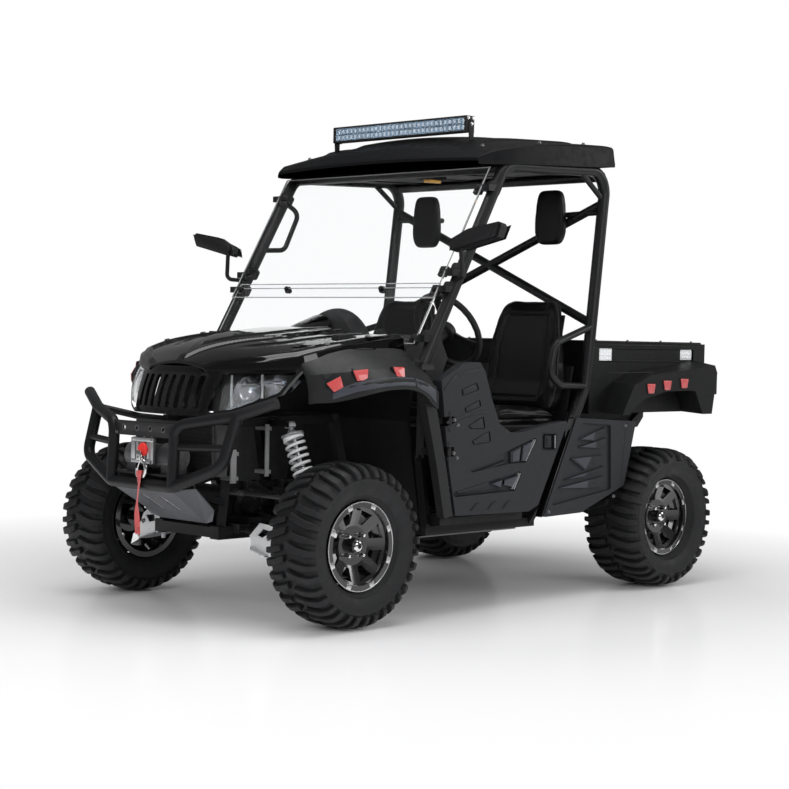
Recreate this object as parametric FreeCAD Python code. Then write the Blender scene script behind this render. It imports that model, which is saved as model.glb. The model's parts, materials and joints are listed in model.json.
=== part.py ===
import FreeCAD, Part
import os
from math import cos, pi, sin, tan

# Side by side utility vehicle with two seats, a roll cage and a tipping cargo bed.
# Millimetres. X points forward, Y to the driver's left, Z up from the floor.
# The origin is on the floor, half way between the winch hook and the tailgate.

V = FreeCAD.Vector

# Length along the ground
front_overhang = 500
wheelbase = 1920
rear_overhang = 460
cab_setback = 940

# Wheels
tyre_radius = 310
lug_height = 15
lug_count = 14
tyre_sides = 28
front_tyre_width = 225
rear_tyre_width = 270
front_half_track = 638
rear_half_track = 628
rim_seat_radius = 152
rim_flange_radius = 168
rim_half_width = 90
rim_wall = 6
spoke_count = 8
nut_count = 4
nut_circle = 52
spindle_radius = 20

# Frame
rail_size = 50
rail_bottom = 300
rail_spread = 250
nose_spread = 170
bed_rail_top = 720
bed_rail_size = 40
sill_spread = 585
skid_sheet = 5

# Suspension
kingpin_spread = 500
lower_arm_height = 340
upper_arm_height = 505
lower_ball_height = 242
upper_ball_height = 398
arm_tube = 13
spring_radius = 36
spring_wire = 6
spring_turns = 6
coil_facets = 10
ball_radius = 20

# Steering
steering_reach = 135
steering_height = 475
rack_radius = 10
rack_reach = 200
rod_radius = 8
steering_wheel_radius = 175

# Bumper
bumper_tube = 22
bumper_plate_half = 186
bumper_plate_top = 748
bumper_bottom = 511

# Body
belt_half_width = 705
door_thickness = 42
panel_thickness = 40
tub_half_width = 560
tub_wall = 12
hood_wall = 8
pane_thickness = 5
pane_half_width = 600

# Cage
cage_tube = 25
brace_tube = 19
hip_tube = 15
cage_bend = 95
pillar_foot_half = 640
pillar_foot = 539
pillar_slope = 0.585
hoop_top = -621
hoop_hip = -510
hip_height = 892
cage_front_height = 1799
cage_rear_height = 1829
cage_foot_height = 977
pane_bottom = 81
pane_joint = 268
mirror_height = 349

# Bed
bed_length = 876
bed_half_width = 600
bed_floor_top = 788
bed_top = 1090
bed_wall = 28
bed_sheet = 14
flare_lip = 720
tailgate_thickness = 32
tailgate_pin = 6

# Hitch
hitch_bar = 51
hitch_wall = 6.5
hitch_height = 350
hitch_pin_radius = 8

# Clearances
seat_gap = 0.3
pin_gap = 0.3
pivot_gap = 5

half_length = (front_overhang + wheelbase + rear_overhang) / 2
front_axle = half_length - front_overhang
rear_axle = front_axle - wheelbase
cab = front_axle - cab_setback
tail = -half_length
rail_top = rail_bottom + rail_size
rail_middle = rail_bottom + rail_size / 2


def box(x0, x1, y0, y1, z0, z1):
    """A block between two corners, given in either order along Y."""
    low, high = min(y0, y1), max(y0, y1)
    return Part.makeBox(x1 - x0, high - low, z1 - z0, V(x0, low, z0))


def rounded(points, radius):
    """A closed outline with each corner rounded as far as its sides allow."""
    count = len(points)
    corners = []
    for i in range(count):
        before = points[i - 1]
        here = points[i]
        after = points[(i + 1) % count]
        into = (here - before).normalize()
        out = (after - here).normalize()
        turn = into.getAngle(out)
        limit = 0.45 * min((here - before).Length, (after - here).Length)
        reach = min(radius * tan(turn / 2), limit)
        if turn < 0.02:
            corners.append((here, here, here))
            continue
        bend = reach / tan(turn / 2)
        inward = (out - into).normalize()
        middle = here + inward * (bend / cos(turn / 2) - bend)
        corners.append((here - into * reach, middle, here + out * reach))
    edges = []
    for i in range(count):
        first, middle, last = corners[i]
        following = corners[(i + 1) % count][0]
        if (first - last).Length > 0.01:
            edges.append(Part.Arc(first, middle, last).toShape())
        if (last - following).Length > 0.01:
            edges.append(Part.LineSegment(last, following).toShape())
    return Part.Wire(edges)


def outline(points, radius=0):
    if radius:
        return rounded(points, radius)
    return Part.makePolygon(points + [points[0]])


def side_prism(points, y0, y1, radius=0, x=0):
    """A plate with an outline in X and Z, between two values of Y."""
    wire = outline([V(x + px, y0, pz) for px, pz in points], radius)
    return Part.Face(wire).extrude(V(0, y1 - y0, 0))


def plan_prism(points, z0, z1, radius=0, x=0):
    """A plate with an outline in X and Y, between two heights."""
    wire = outline([V(x + px, py, z0) for px, py in points], radius)
    return Part.Face(wire).extrude(V(0, 0, z1 - z0))


def front_prism(points, x0, x1, radius=0):
    """A plate with an outline in Y and Z, between two values of X."""
    wire = outline([V(x0, py, pz) for py, pz in points], radius)
    return Part.Face(wire).extrude(V(x1 - x0, 0, 0))


def tube(points, radius, bend=60, x=0):
    """A round tube along straight runs joined by tangent arcs."""
    path = [V(x + px, py, pz) for px, py, pz in points]
    edges = []
    start = path[0]
    for i in range(1, len(path) - 1):
        into = (path[i] - path[i - 1]).normalize()
        out = (path[i + 1] - path[i]).normalize()
        turn = into.getAngle(out)
        limit = 0.45 * min((path[i] - path[i - 1]).Length, (path[i + 1] - path[i]).Length)
        reach = min(bend * tan(turn / 2), limit)
        arc = reach / tan(turn / 2)
        first = path[i] - into * reach
        last = path[i] + out * reach
        inward = (out - into).normalize()
        middle = path[i] + inward * (arc / cos(turn / 2) - arc)
        edges.append(Part.LineSegment(start, first).toShape())
        edges.append(Part.Arc(first, middle, last).toShape())
        start = last
    edges.append(Part.LineSegment(start, path[-1]).toShape())
    direction = (path[1] - path[0]).normalize()
    circle = Part.Wire([Part.Circle(path[0], direction, radius).toShape()])
    return Part.Wire(edges).makePipeShell([circle], True, False)


def rod(start, end, radius):
    first = V(*start)
    along = V(*end) - first
    return Part.makeCylinder(radius, along.Length, first, along)


def bar(start, end, width, height):
    """A straight bar of box section between two points."""
    first = V(*start)
    along = V(*end) - first
    solid = Part.makeBox(width, height, along.Length, V(-width / 2, -height / 2, 0))
    side = V(0, 0, 1).cross(along)
    if side.Length < 0.01:
        side = V(0, 1, 0)
    solid.Placement = FreeCAD.Placement(first, FreeCAD.Rotation(side, along.cross(side), along, "ZXY"))
    return solid


def bars(points, size):
    """Square bars end to end, with a block at each corner."""
    half = size / 2
    parts = [bar(a, b, size, size) for a, b in zip(points, points[1:])]
    for x, y, z in points[1:-1]:
        parts.append(box(x - half, x + half, y - half, y + half, z - half, z + half))
    return joined(*parts)


def ring(inner, outer, length, centre, along):
    """A tube of given wall centred on a point."""
    start = V(*centre) - along * (length / 2)
    hole = Part.makeCylinder(inner, length, start, along)
    return Part.makeCylinder(outer, length, start, along).cut(hole)


def revolved(profile, centre, outward=1):
    """Turn a profile of (radius, offset along Y) about a line along Y."""
    cx, cy, cz = centre
    points = [V(cx, cy + outward * offset, cz + radius) for radius, offset in profile]
    face = Part.Face(Part.makePolygon(points + [points[0]]))
    return face.revolve(V(cx, cy, cz), V(0, 1, 0), 360)


def joined(*shapes):
    if len(shapes) == 1:
        return shapes[0]
    return shapes[0].multiFuse(list(shapes[1:])).removeSplitter()


def mirrored(shape):
    return shape.mirror(V(0, 0, 0), V(0, 1, 0))


def both(shape):
    return [shape, mirrored(shape)]


def save(name, *shapes):
    solids = []
    for shape in shapes:
        solids.extend(shape.Solids)
    whole = solids[0] if len(solids) == 1 else Part.makeCompound(solids)
    whole.exportStep("parts/" + name + ".step")
    print(name, len(solids), whole.isValid())


# Wheels

wheel_places = {
    "front_left": (front_axle, front_half_track, front_tyre_width),
    "front_right": (front_axle, -front_half_track, front_tyre_width),
    "rear_left": (rear_axle, rear_half_track, rear_tyre_width),
    "rear_right": (rear_axle, -rear_half_track, rear_tyre_width),
}


def tyre(centre, width):
    """A carcass that sits on the rim's bead seats, with slanted lugs round it."""
    half = width / 2
    crown = tyre_radius - lug_height
    bead = rim_half_width - rim_wall - seat_gap
    side = [
        (rim_seat_radius + 1.5, bead),
        (rim_flange_radius + 4, bead),
        (rim_flange_radius + 58, half),
        (crown - 26, half - 6),
        (crown, half - 50),
    ]
    carcass = faceted([(r, -y) for r, y in side] + list(reversed(side)), centre, tyre_sides)
    lugs = []
    for i in range(lug_count):
        for across in (-1, 1):
            lug = tread_lug(centre, half, across, i % 2)
            lug.rotate(V(*centre), V(0, 1, 0), 360 * (i + 0.25 * across) / lug_count)
            lugs.append(lug)
    return carcass.multiFuse(lugs)


def faceted(profile, centre, sides):
    """A ring with flat facets, from a profile of (radius, offset along Y)."""
    rings = []
    for radius, offset in profile:
        angles = [2 * pi * i / sides for i in range(sides)]
        rings.append([V(centre[0] + radius * sin(a), centre[1] + offset, centre[2] - radius * cos(a)) for a in angles])
    faces = []
    for k in range(len(rings)):
        a, b = rings[k - 1], rings[k]
        for i in range(sides):
            corners = [a[i - 1], a[i], b[i], b[i - 1]]
            faces.append(Part.Face(outline(corners)))
    return Part.makeSolid(Part.makeShell(faces))


def tread_lug(centre, half, across, short):
    """One lug that slants from the middle of the tread over the shoulder."""
    cx, cy, cz = centre
    start = 30 if short else 8
    tip = tyre_radius - 0.6
    side = [(start, tip - 24), (start, tip), (half - 36, tip), (half + 1, tip - 34), (half - 10, tip - 56)]
    lug = Part.Face(outline([V(cx - 19, cy + across * y, cz + r) for y, r in side])).extrude(V(38, 0, 0))
    lug.rotate(V(cx, cy + across * half / 2, cz), V(0, 0, 1), across * -14)
    return lug


def rim(centre, outward):
    """A drop-centre barrel with a spoked face, the hub with its bore, and the nuts."""
    cx, cy, cz = centre
    half = rim_half_width
    flange = rim_flange_radius
    seat = rim_seat_radius
    well = seat - 22
    side = [(flange, half), (flange, half - rim_wall), (seat, half - rim_wall), (seat, half - 40),
            (well, half - 58)]
    inside = [(well - rim_wall, half - 58), (seat - rim_wall, half - 38), (seat - rim_wall, half)]
    profile = side + [(r, -y) for r, y in reversed(side)]
    profile += [(r, -y) for r, y in reversed(inside)] + inside
    barrel = revolved(profile, centre)
    face = half - 46
    dish = [(0, face - 12), (70, face - 12), (seat - rim_wall + 1, face + 16), (seat - rim_wall + 1, face + 28),
            (74, face + 2), (0, face + 2)]
    disc = revolved(dish, centre, outward)
    windows = [spoke_window(centre, 2 * pi * (i + 0.5) / spoke_count) for i in range(spoke_count)]
    disc = disc.cut(Part.makeCompound(windows))
    axis = V(0, outward, 0)
    cap = Part.makeCylinder(30, 30, V(cx, cy + outward * face, cz), axis)
    boss = Part.makeCylinder(44, 42, V(cx, cy + outward * (face - 50), cz), axis)
    bore = Part.makeCylinder(spindle_radius + pin_gap, 34, V(cx, cy + outward * (face - 51), cz), axis)
    nuts = []
    for i in range(nut_count):
        angle = 2 * pi * (i + 0.5) / nut_count
        place = V(cx + nut_circle * cos(angle), cy + outward * face, cz + nut_circle * sin(angle))
        nuts.append(Part.makeCylinder(9, 16, place, axis))
    return joined(barrel, disc, cap, boss, *nuts).cut(bore)


def spoke_window(centre, angle):
    cx, cy, cz = centre
    inner = 84
    outer = rim_seat_radius - rim_wall - 14
    points = []
    for r, t in ((inner, -11), (inner, 11), (outer, 30), (outer, -30)):
        x = cx + r * cos(angle) - t * sin(angle)
        z = cz + r * sin(angle) + t * cos(angle)
        points.append(V(x, cy - 2 * rim_half_width, z))
    return Part.Face(outline(points)).extrude(V(0, 4 * rim_half_width, 0))


def spindle_reach(half_track):
    """How far out the spindle ends, inside the rim's bore."""
    return half_track + rim_half_width - 46 - 18


# Frame

def chassis_frame():
    """Rails, towers for the suspension, outriggers for the cab and rails for the bed."""
    parts = []
    for s in (-1, 1):
        parts += side_members(s)
    nose_x = front_axle + 240
    for x, half in ((cab + 470, rail_spread), (cab + 160, rail_spread), (cab - 180, rail_spread),
                    (cab - 470, rail_spread), (rear_axle + 160, rail_spread), (rear_axle - 150, rail_spread),
                    (front_axle - 175, nose_spread), (nose_x - 20, nose_spread)):
        parts.append(bar((x, -half, rail_middle), (x, half, rail_middle), 40, 40))
    bed_rail = bed_rail_top - bed_rail_size / 2
    for x in (cab - 460, rear_axle + 160, rear_axle - 270, tail + 105):
        parts.append(bar((x, -rail_spread, bed_rail), (x, rail_spread, bed_rail), 36, 36))
    parts.append(bar((front_axle + 182, -190, 745), (front_axle + 182, 190, 745), 32, 32))
    parts.append(bar((front_axle - 320, -230, 760), (front_axle - 320, 230, 760), 32, 32))
    parts.append(rack_housing())
    return joined(*parts)


def side_members(s):
    parts = []
    rail = [(rear_axle - 170, s * rail_spread, rail_middle), (cab + 560, s * rail_spread, rail_middle),
            (cab + 720, s * nose_spread, rail_middle), (front_axle + 240, s * nose_spread, rail_middle)]
    parts.append(bars(rail, rail_size))
    bed_rail = bed_rail_top - bed_rail_size / 2
    parts.append(bars([(front_axle + 210, s * nose_spread, rail_middle), (front_axle + 182, s * 190, 745),
                       (front_axle - 320, s * 230, 760), (cab + 520, s * rail_spread, rail_middle)], 34))
    parts.append(bar((front_axle - 140, s * nose_spread, rail_middle), (front_axle - 140, s * 214, 752), 30, 30))
    for x in (cab - 470, rear_axle + 160):
        parts.append(bar((x, s * rail_spread, rail_middle), (x, s * rail_spread, bed_rail), 36, 36))
    parts.append(bars([(rear_axle - 150, s * rail_spread, rail_middle), (rear_axle - 270, s * rail_spread, 540),
                       (rear_axle - 270, s * rail_spread, bed_rail)], 36))
    parts.append(bar((cab - 440, s * rail_spread, bed_rail), (tail + 90, s * rail_spread, bed_rail),
                     bed_rail_size, bed_rail_size))
    parts += bed_pivot_ears(s)
    parts += arm_brackets(front_axle, s, nose_spread, 182, -140, 198)
    parts += arm_brackets(rear_axle, s, rail_spread, rail_spread, -245, 160)
    parts += shock_mount(front_axle, s, 225)
    parts += shock_mount(rear_axle, s, rail_spread + 10)
    parts.append(bars([(cab + 470, s * rail_spread, rail_middle), (cab + 440, s * sill_spread, rail_middle),
                       (cab - 190, s * sill_spread, rail_middle), (cab - 200, s * rail_spread, rail_middle)], 36))
    parts.append(bars([(cab + 440, s * sill_spread, rail_middle), (cab + 500, s * 600, 620),
                       (cab + pillar_foot, s * pillar_foot_half, cage_foot_height - 7)], 30))
    foot = s * pillar_foot_half
    post = cab + pillar_foot
    parts.append(box(post - 34, post + 34, foot - 32, foot + 32, cage_foot_height - 12, cage_foot_height))
    parts.append(bar((cab - 196, s * pillar_foot_half, 418), (cab - 185, s * sill_spread, rail_middle), 34, 34))
    for z in door_hinge_heights:
        parts += hinge_ear(s, z)
    return parts


def arm_brackets(axle, s, rail_y, tower_y, back, front):
    """Ears and pins that carry the inner ends of the arms."""
    parts = []
    y = s * arm_pivot(rail_y)
    for height, spread, root in ((lower_arm_height, 130, rail_y), (upper_arm_height, 90, tower_y)):
        for x in (axle - spread, axle + spread):
            for face in (x - 30 - seat_gap, x + 30 + seat_gap):
                out = -5 if face < x else 5
                x0, x1 = min(face, face + out), max(face, face + out)
                parts.append(box(x0, x1, s * (root - 6), y + s * 16, height - 18, height + 18))
            parts.append(rod((x - 32, y, height), (x + 32, y, height), 6))
    parts.append(bar((axle + back, s * tower_y, upper_arm_height), (axle + front, s * tower_y, upper_arm_height), 22, 22))
    return parts


def arm_pivot(rail_y):
    """How far out the arms' inner pivots lie, beside the rail."""
    return rail_y + rail_size / 2 + 18


def shock_mount(axle, s, root):
    """Two ears and a pin that hold the top eye of a shock."""
    x, y, z = shock_top(axle, s)
    parts = [rod((x - 24, y, z), (x + 24, y, z), 6)]
    for side in (-1, 1):
        x0 = x + side * (18 + seat_gap)
        low, high = min(x0, x0 + side * 5), max(x0, x0 + side * 5)
        points = [(y - s * 14, z - 8), (y + s * 16, z - 8), (y + s * 16, z + 14), (s * (root - 16), z + 20),
                  (s * (root - 16), z - 8)]
        parts.append(front_prism(points, low, high))
    return parts


def bed_pivot_ears(s):
    """Plates behind the bed rails that hold the pin the bed tips on."""
    x, z = bed_pivot
    parts = [rod((x, s * (rail_spread - 30), z), (x, s * (rail_spread + 30), z), 10)]
    for y in (rail_spread - 30, rail_spread + 22):
        points = [(tail + 86, 684), (tail + 130, 684), (tail + 130, 716), (x + 12, z + 14), (x - 14, z + 14),
                  (x - 14, z - 14)]
        parts.append(side_prism(points, s * y, s * (y + 8)))
    for y in (rail_spread - 22, rail_spread + 22):
        parts.append(box(tail + 91, tail + 130, s * (y - 9), s * (y + 9), 684, 716))
    return parts


def rack_housing():
    """A tube round the steering rack on two feet."""
    x = front_axle + steering_reach
    middle = (x, 0, steering_height)
    body = ring(rack_radius + 1, rack_radius + 13, 210, middle, V(0, 1, 0))
    feet = [box(x - 12, x + 12, y - 12, y + 12, rail_middle, steering_height - 15) for y in (-80, 80)]
    beam = bar((x, -nose_spread, rail_middle), (x, nose_spread, rail_middle), 30, 30)
    return joined(body, beam, *feet)


door_hinge_heights = (645, 765)
hinge_x = cab + 440
hinge_y = 700


def hinge_ear(s, z):
    """An arm from the front post to the door's hinge line, with its upright pin."""
    arm = [(hinge_x - 10, 652), (cab + 512, 588), (cab + 520, 612), (hinge_x + 10, 672), (hinge_x + 10, hinge_y),
           (hinge_x - 10, hinge_y)]
    flat = plan_prism([(px, s * py) for px, py in arm], z - 14, z + 14)
    eye = Part.makeCylinder(10, 28, V(hinge_x, s * hinge_y, z - 14))
    pin = Part.makeCylinder(5, 76, V(hinge_x, s * hinge_y, z - 38))
    return [flat, eye, pin]


def skid_plate():
    points = [(front_axle + 180, 150), (cab + 740, 180), (cab + 560, 285), (cab + 470, 560), (cab - 150, 560),
              (cab - 240, 285), (rear_axle - 150, 270)]
    full = points + [(px, -py) for px, py in reversed(points)]
    return plan_prism(full, rail_bottom - skid_sheet, rail_bottom, 30)


# Suspension and steering

bed_pivot = (tail + 55, 745)


def shock_top(axle, s):
    if axle == front_axle:
        return (axle - 5, s * 318, 742)
    return (axle + 5, s * 322, 700)


def shock_bottom(axle, s):
    return (axle - 25, s * 418, 470 if axle == front_axle else 480)


def suspension_arms():
    solids = []
    for axle, rail_y in ((front_axle, nose_spread), (rear_axle, rail_spread)):
        for s in (-1, 1):
            solids.append(arm(axle, s, rail_y, lower_arm_height, 130, lower_ball_height))
            upper = arm(axle, s, rail_y, upper_arm_height, 90, upper_ball_height)
            solids.append(joined(upper, *shock_seat(axle, s)))
    return solids


def arm(axle, s, rail_y, height, spread, ball_height):
    """Two legs from pivot tubes on the frame to one ball housing at the knuckle."""
    y_in = s * arm_pivot(rail_y)
    y_out = s * kingpin_spread
    parts = []
    bores = []
    for x in (axle - spread, axle + spread):
        parts.append(Part.makeCylinder(14, 60, V(x - 30, y_in, height), V(1, 0, 0)))
        bores.append(Part.makeCylinder(6 + pin_gap, 60, V(x - 30, y_in, height), V(1, 0, 0)))
        parts.append(rod((x, y_in, height), (axle, y_out, ball_height), arm_tube))
    parts.append(Part.makeCylinder(ball_radius, 26, V(axle, y_out, ball_height - 13)))
    bores.append(Part.makeCylinder(8 + pin_gap, 60, V(axle, y_out, ball_height - 30)))
    return joined(*parts).cut(Part.makeCompound(bores))


def shock_seat(axle, s):
    """Two ears on the upper arm that hold the bottom eye of a shock."""
    x, y, z = shock_bottom(axle, s)
    parts = [rod((x - 24, y, z), (x + 24, y, z), 6)]
    for side in (-1, 1):
        x0 = x + side * (18 + seat_gap)
        low, high = min(x0, x0 + side * 5), max(x0, x0 + side * 5)
        points = [(y - s * 16, z + 14), (y + s * 16, z + 14), (y + s * 30, 418), (y - s * 30, 440)]
        parts.append(front_prism(points, low, high))
    parts.append(bar((x - 34, y - s * 4, 424), (x + 52, y - s * 4, 424), 44, 10))
    return parts


def knuckle(axle, s, half_track, steered):
    """An upright with its two ball pins, the hub carrier and the wheel's spindle."""
    y = kingpin_spread
    low = lower_ball_height + 30
    high = upper_ball_height - 17
    parts = [rod((axle, y, low), (axle, y, high), ball_radius - 2)]
    parts.append(rod((axle, y, lower_ball_height - 12), (axle, y, upper_ball_height + 12), 8))
    parts.append(rod((axle, y + 4, tyre_radius), (axle, y + 34, tyre_radius), 40))
    parts.append(rod((axle, y, tyre_radius), (axle, spindle_reach(half_track), tyre_radius), spindle_radius))
    if steered:
        x = axle + steering_reach
        eye_top = steering_height - 13 - seat_gap
        parts.append(bar((axle + 8, y, high - 22), (x, y, eye_top - 8), 16, 14))
        parts.append(rod((x, y, eye_top - 16), (x, y, eye_top), 13))
        bore = rod((x, y, eye_top - 17), (x, y, eye_top + 1), 5 + pin_gap)
        parts = [joined(*parts).cut(bore)]
    whole = joined(*parts)
    return whole if s > 0 else mirrored(whole)


def tie_rod(s):
    x = front_axle + steering_reach
    y = s * kingpin_spread
    inner = s * (rack_reach + pivot_gap)
    return joined(rod((x, y, steering_height - 13), (x, y, steering_height + 13), 13),
                  rod((x, y, steering_height - 28), (x, y, steering_height), 5),
                  rod((x, y, steering_height), (x, inner, steering_height), rod_radius),
                  rod((x, inner + s * 26, steering_height), (x, inner, steering_height), rack_radius))


def steering_rack():
    x = front_axle + steering_reach
    return rod((x, -rack_reach, steering_height), (x, rack_reach, steering_height), rack_radius)


def shock(axle, s):
    """A damper with two spring seats, and an eye at each end."""
    first = V(*shock_bottom(axle, s))
    last = V(*shock_top(axle, s))
    length = (last - first).Length
    axis = (last - first).normalize()
    parts = [Part.makeCylinder(16, length * 0.45, first, axis), Part.makeCylinder(9, length, first, axis)]
    for share, thick in ((0.2, 8), (0.84, 8)):
        parts.append(Part.makeCylinder(44, thick, first + axis * (length * share), axis))
    bores = []
    for end in (first, last):
        parts.append(Part.makeCylinder(15, 36, end - V(18, 0, 0), V(1, 0, 0)))
        bores.append(Part.makeCylinder(6 + pin_gap, 36, end - V(18, 0, 0), V(1, 0, 0)))
    return joined(*parts).cut(Part.makeCompound(bores))


def spring(axle, s):
    """A coil with flat facets, seated between the two cups of a shock."""
    first = V(*shock_bottom(axle, s))
    last = V(*shock_top(axle, s))
    length = (last - first).Length
    turn = FreeCAD.Rotation(V(0, 0, 1), last - first)
    low = length * 0.2 + 8 + spring_wire
    high = length * 0.84 - spring_wire
    count = spring_turns * coil_facets
    rings = []
    for k in range(count + 1):
        angle = 2 * pi * k / coil_facets
        height = low + (high - low) * k / count
        ring_points = []
        for i in range(6):
            tilt = pi / 6 + pi * i / 3
            radius = spring_radius + spring_wire * cos(tilt)
            local = V(radius * cos(angle), radius * sin(angle), height + spring_wire * sin(tilt))
            ring_points.append(first + turn.multVec(local))
        rings.append(ring_points)
    faces = [Part.Face(outline(rings[0])), Part.Face(outline(rings[-1]))]
    for a, b in zip(rings, rings[1:]):
        for i in range(6):
            faces.append(Part.Face(outline([a[i - 1], a[i], b[i]])))
            faces.append(Part.Face(outline([a[i - 1], b[i], b[i - 1]])))
    return Part.makeSolid(Part.makeShell(faces))


def gearcase(axle, half, length, rail_y):
    """A cast housing with a bulge round the gears, on two feet."""
    body = box(axle - length / 2, axle + length / 2, -half + 14, half - 14, 372, 452)
    bulge = Part.makeCylinder(66, 2 * half, V(axle, -half, 410), V(0, 1, 0))
    feet = box(axle - length / 2 + 10, axle + length / 2 - 10, -rail_y - 16, rail_y + 16, rail_top, 376)
    return joined(body, bulge, feet)


def half_shaft(axle, s, root):
    """A shaft between two rubber boots, out to the knuckle."""
    start = V(axle, s * root, 408)
    end = V(axle, s * (kingpin_spread - 38), tyre_radius + 8)
    axis = (end - start).normalize()
    length = (end - start).Length
    return joined(Part.makeCylinder(12, length, start, axis),
                  Part.makeCone(42, 18, 70, start, axis),
                  Part.makeCone(18, 40, 66, end - axis * 66, axis))


def axles():
    front = joined(gearcase(front_axle, 84, 170, nose_spread), *[half_shaft(front_axle, s, 80) for s in (-1, 1)])
    rear = joined(gearcase(rear_axle, 96, 170, rail_spread), *[half_shaft(rear_axle, s, 92) for s in (-1, 1)])
    return [front, rear]


# Front bumper and winch

def front_bumper():
    """Two bent loops with the holed plate between them, the winch tray and the mounts."""
    half = bumper_plate_half
    parts = []
    for s in (-1, 1):
        corner = (1297, s * 425, 786)
        foot = (1402, s * half, bumper_bottom)
        parts.append(tube([(1231, s * 572, 840), corner, (1392, s * half, 741), foot], bumper_tube, 60, cab))
        parts.append(tube([corner, (1352, s * 414, 601), foot, (1402, 0, bumper_bottom)], bumper_tube, 70, cab))
        parts.append(rod((cab + 1392, s * half, 660), (cab + 1336, s * 415, 668), 14))
        parts.append(rod((cab + 1297, s * 425, 786), (cab + 1180, s * 300, 750), 14))
        parts.append(rod((cab + 1180, s * 300, 750), (cab + 1124, s * 192, 742), 14))
        parts.append(bar((cab + 1400, s * half, 516), (cab + 1146, s * 177, 440), 28, 28))
        parts.append(rod((cab + 1290, s * 165, 550), (cab + 1290, s * 180, 480), 10))
    top = box(cab + 1388, cab + 1396, -half, half, 692, bumper_plate_top)
    holes = [Part.makeCylinder(9, 20, V(cab + 1382, -120 + 80 * i, 722), V(1, 0, 0)) for i in range(4)]
    parts.append(top.cut(Part.makeCompound(holes)))
    parts.append(box(cab + 1270, cab + 1400, -half, half, 546, 554))
    return joined(*parts)


def bumper_skid():
    """A slotted chin plate with folded wings, hung below the bumper."""
    top = [V(cab + 1394, s * 184, 492) for s in (1, -1)]
    low = [V(cab + 1196, s * 139, 360) for s in (-1, 1)]
    plates = [Part.Face(outline(top + low)).extrude(V(0, 0, 6))]
    for s in (-1, 1):
        inner = [V(cab + 1394, s * 184, 492), V(cab + 1196, s * 139, 360)]
        outer = [V(cab + 1330, s * 240, 500), V(cab + 1230, s * 226, 416), V(cab + 1206, s * 190, 372)]
        for triangle in ([inner[0], outer[0], inner[1]], [outer[0], outer[1], inner[1]],
                         [outer[1], outer[2], inner[1]]):
            plates.append(Part.Face(outline(triangle)).extrude(V(0, 0, 6)))
    slots = []
    for y in (-70, 40):
        slot = [(1362, y), (1344, y + 30), (1250, y + 44), (1262, y + 16)]
        slots.append(plan_prism(slot, 300, 560, 6, cab))
    return joined(*plates).cut(Part.makeCompound(slots))


def winch():
    """A drum between its motor and gears, on two feet, with the fairlead in front."""
    x = cab + 1330
    z = 616
    parts = []
    for radius, start, length in ((34, -80, 160), (52, 60, 76), (52, -136, 62)):
        parts.append(Part.makeCylinder(radius, length, V(x, start, z), V(0, 1, 0)))
    for y in (-134, 76):
        parts.append(box(x - 40, x + 40, y, y + 56, 554, z - 20))
    fairlead = box(x + 58, x + 66, -64, 64, 590, 688).cut(box(x + 50, x + 80, -38, 38, 622, 656))
    parts.append(fairlead)
    for s in (-1, 1):
        parts.append(box(x + 20, x + 60, s * 54, s * 62, 596, 664))
    return joined(*parts)


def winch_hook():
    """A hook held up against the fairlead by its rubber stop."""
    x = cab + 1396
    stop = Part.makeCylinder(27, 14, V(x, 8, 640), V(1, 0, 0))
    shank = front_prism([(0, 632), (16, 632), (18, 596), (2, 596)], x + 10, x + 30, 3)
    pin = Part.makeCylinder(9, 30, V(x + 14, 9, 614), V(1, 0, 0))
    bow = front_prism([(0, 606), (20, 606), (24, 592), (40, 582), (42, 558), (26, 540), (4, 538), (-12, 554),
                       (-8, 570), (4, 560), (16, 556), (26, 564), (24, 574), (8, 584)], x + 12, x + 28, 4)
    return joined(stop, shank, pin, bow)


def hook_strap():
    """A flat strap looped over the bow of the hook."""
    x = cab + 1396
    loop = side_prism([(x + 8, 542), (x + 8, 556), (x + 12, 560), (x + 28, 560), (x + 33, 556), (x + 33, 528),
                       (x + 29, 528), (x + 28, 535), (x + 28, 556), (x + 12, 556), (x + 12, 545)], 6, 16)
    hanging = side_prism([(x + 29, 534), (x + 33, 534), (x + 36, 470), (x + 33, 322), (x + 29, 322), (x + 31, 470)],
                         -4, 34)
    return joined(loop, hanging)


def bright_plates():
    """Guards over the lower arms, and two upright straps on the frame."""
    solids = []
    for s in (-1, 1):
        guard = plan_prism([(1000, s * 290), (1105, s * 290), (1125, s * 318), (1118, s * 385), (1060, s * 400),
                            (1006, s * 372)], 250, 256, 14, cab)
        window = plan_prism([(1040, s * 312), (1092, s * 312), (1100, s * 350), (1052, s * 350)], 200, 300, 8, cab)
        slope = FreeCAD.Rotation(V(s, 0, 0), -17)
        guard = guard.cut(window)
        guard.Placement = FreeCAD.Placement(V(0, 0, 0), slope, V(cab + 1060, s * 340, 250)).multiply(guard.Placement)
        guard.translate(V(0, 0, 12))
        post = rod((cab + 1030, s * 330, 250), (cab + 1030, s * 330, 300), 9)
        solids.append(joined(guard, post))
        for x0, x1, z0, z1 in ((1145, 1173, 520, 648), (980, 998, 540, 742)):
            strip = box(cab + x0, cab + x1, s * 246, s * 252, z0, z1)
            feet = [box(cab + x0 - 14, cab + x1 - 2, s * 186, s * 248, z, z + 14) for z in (z0 + 10, z1 - 24)]
            solids.append(joined(strip, *feet))
    return solids


def radiator():
    core = box(cab + 1196, cab + 1234, -232, 232, 548, 742)
    slots = [box(cab + 1226, cab + 1240, -220, 220, 560 + 17 * i, 571 + 17 * i) for i in range(11)]
    tanks = [box(cab + 1190, cab + 1240, s * 231, s * 250, 548, 742) for s in (-1, 1)]
    feet = [box(cab + 1130, cab + 1198, s * 182, s * 198, z, z + 20) for s in (-1, 1) for z in (566, 704)]
    return joined(core.cut(Part.makeCompound(slots)), *tanks, *feet)


# Nose

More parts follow.
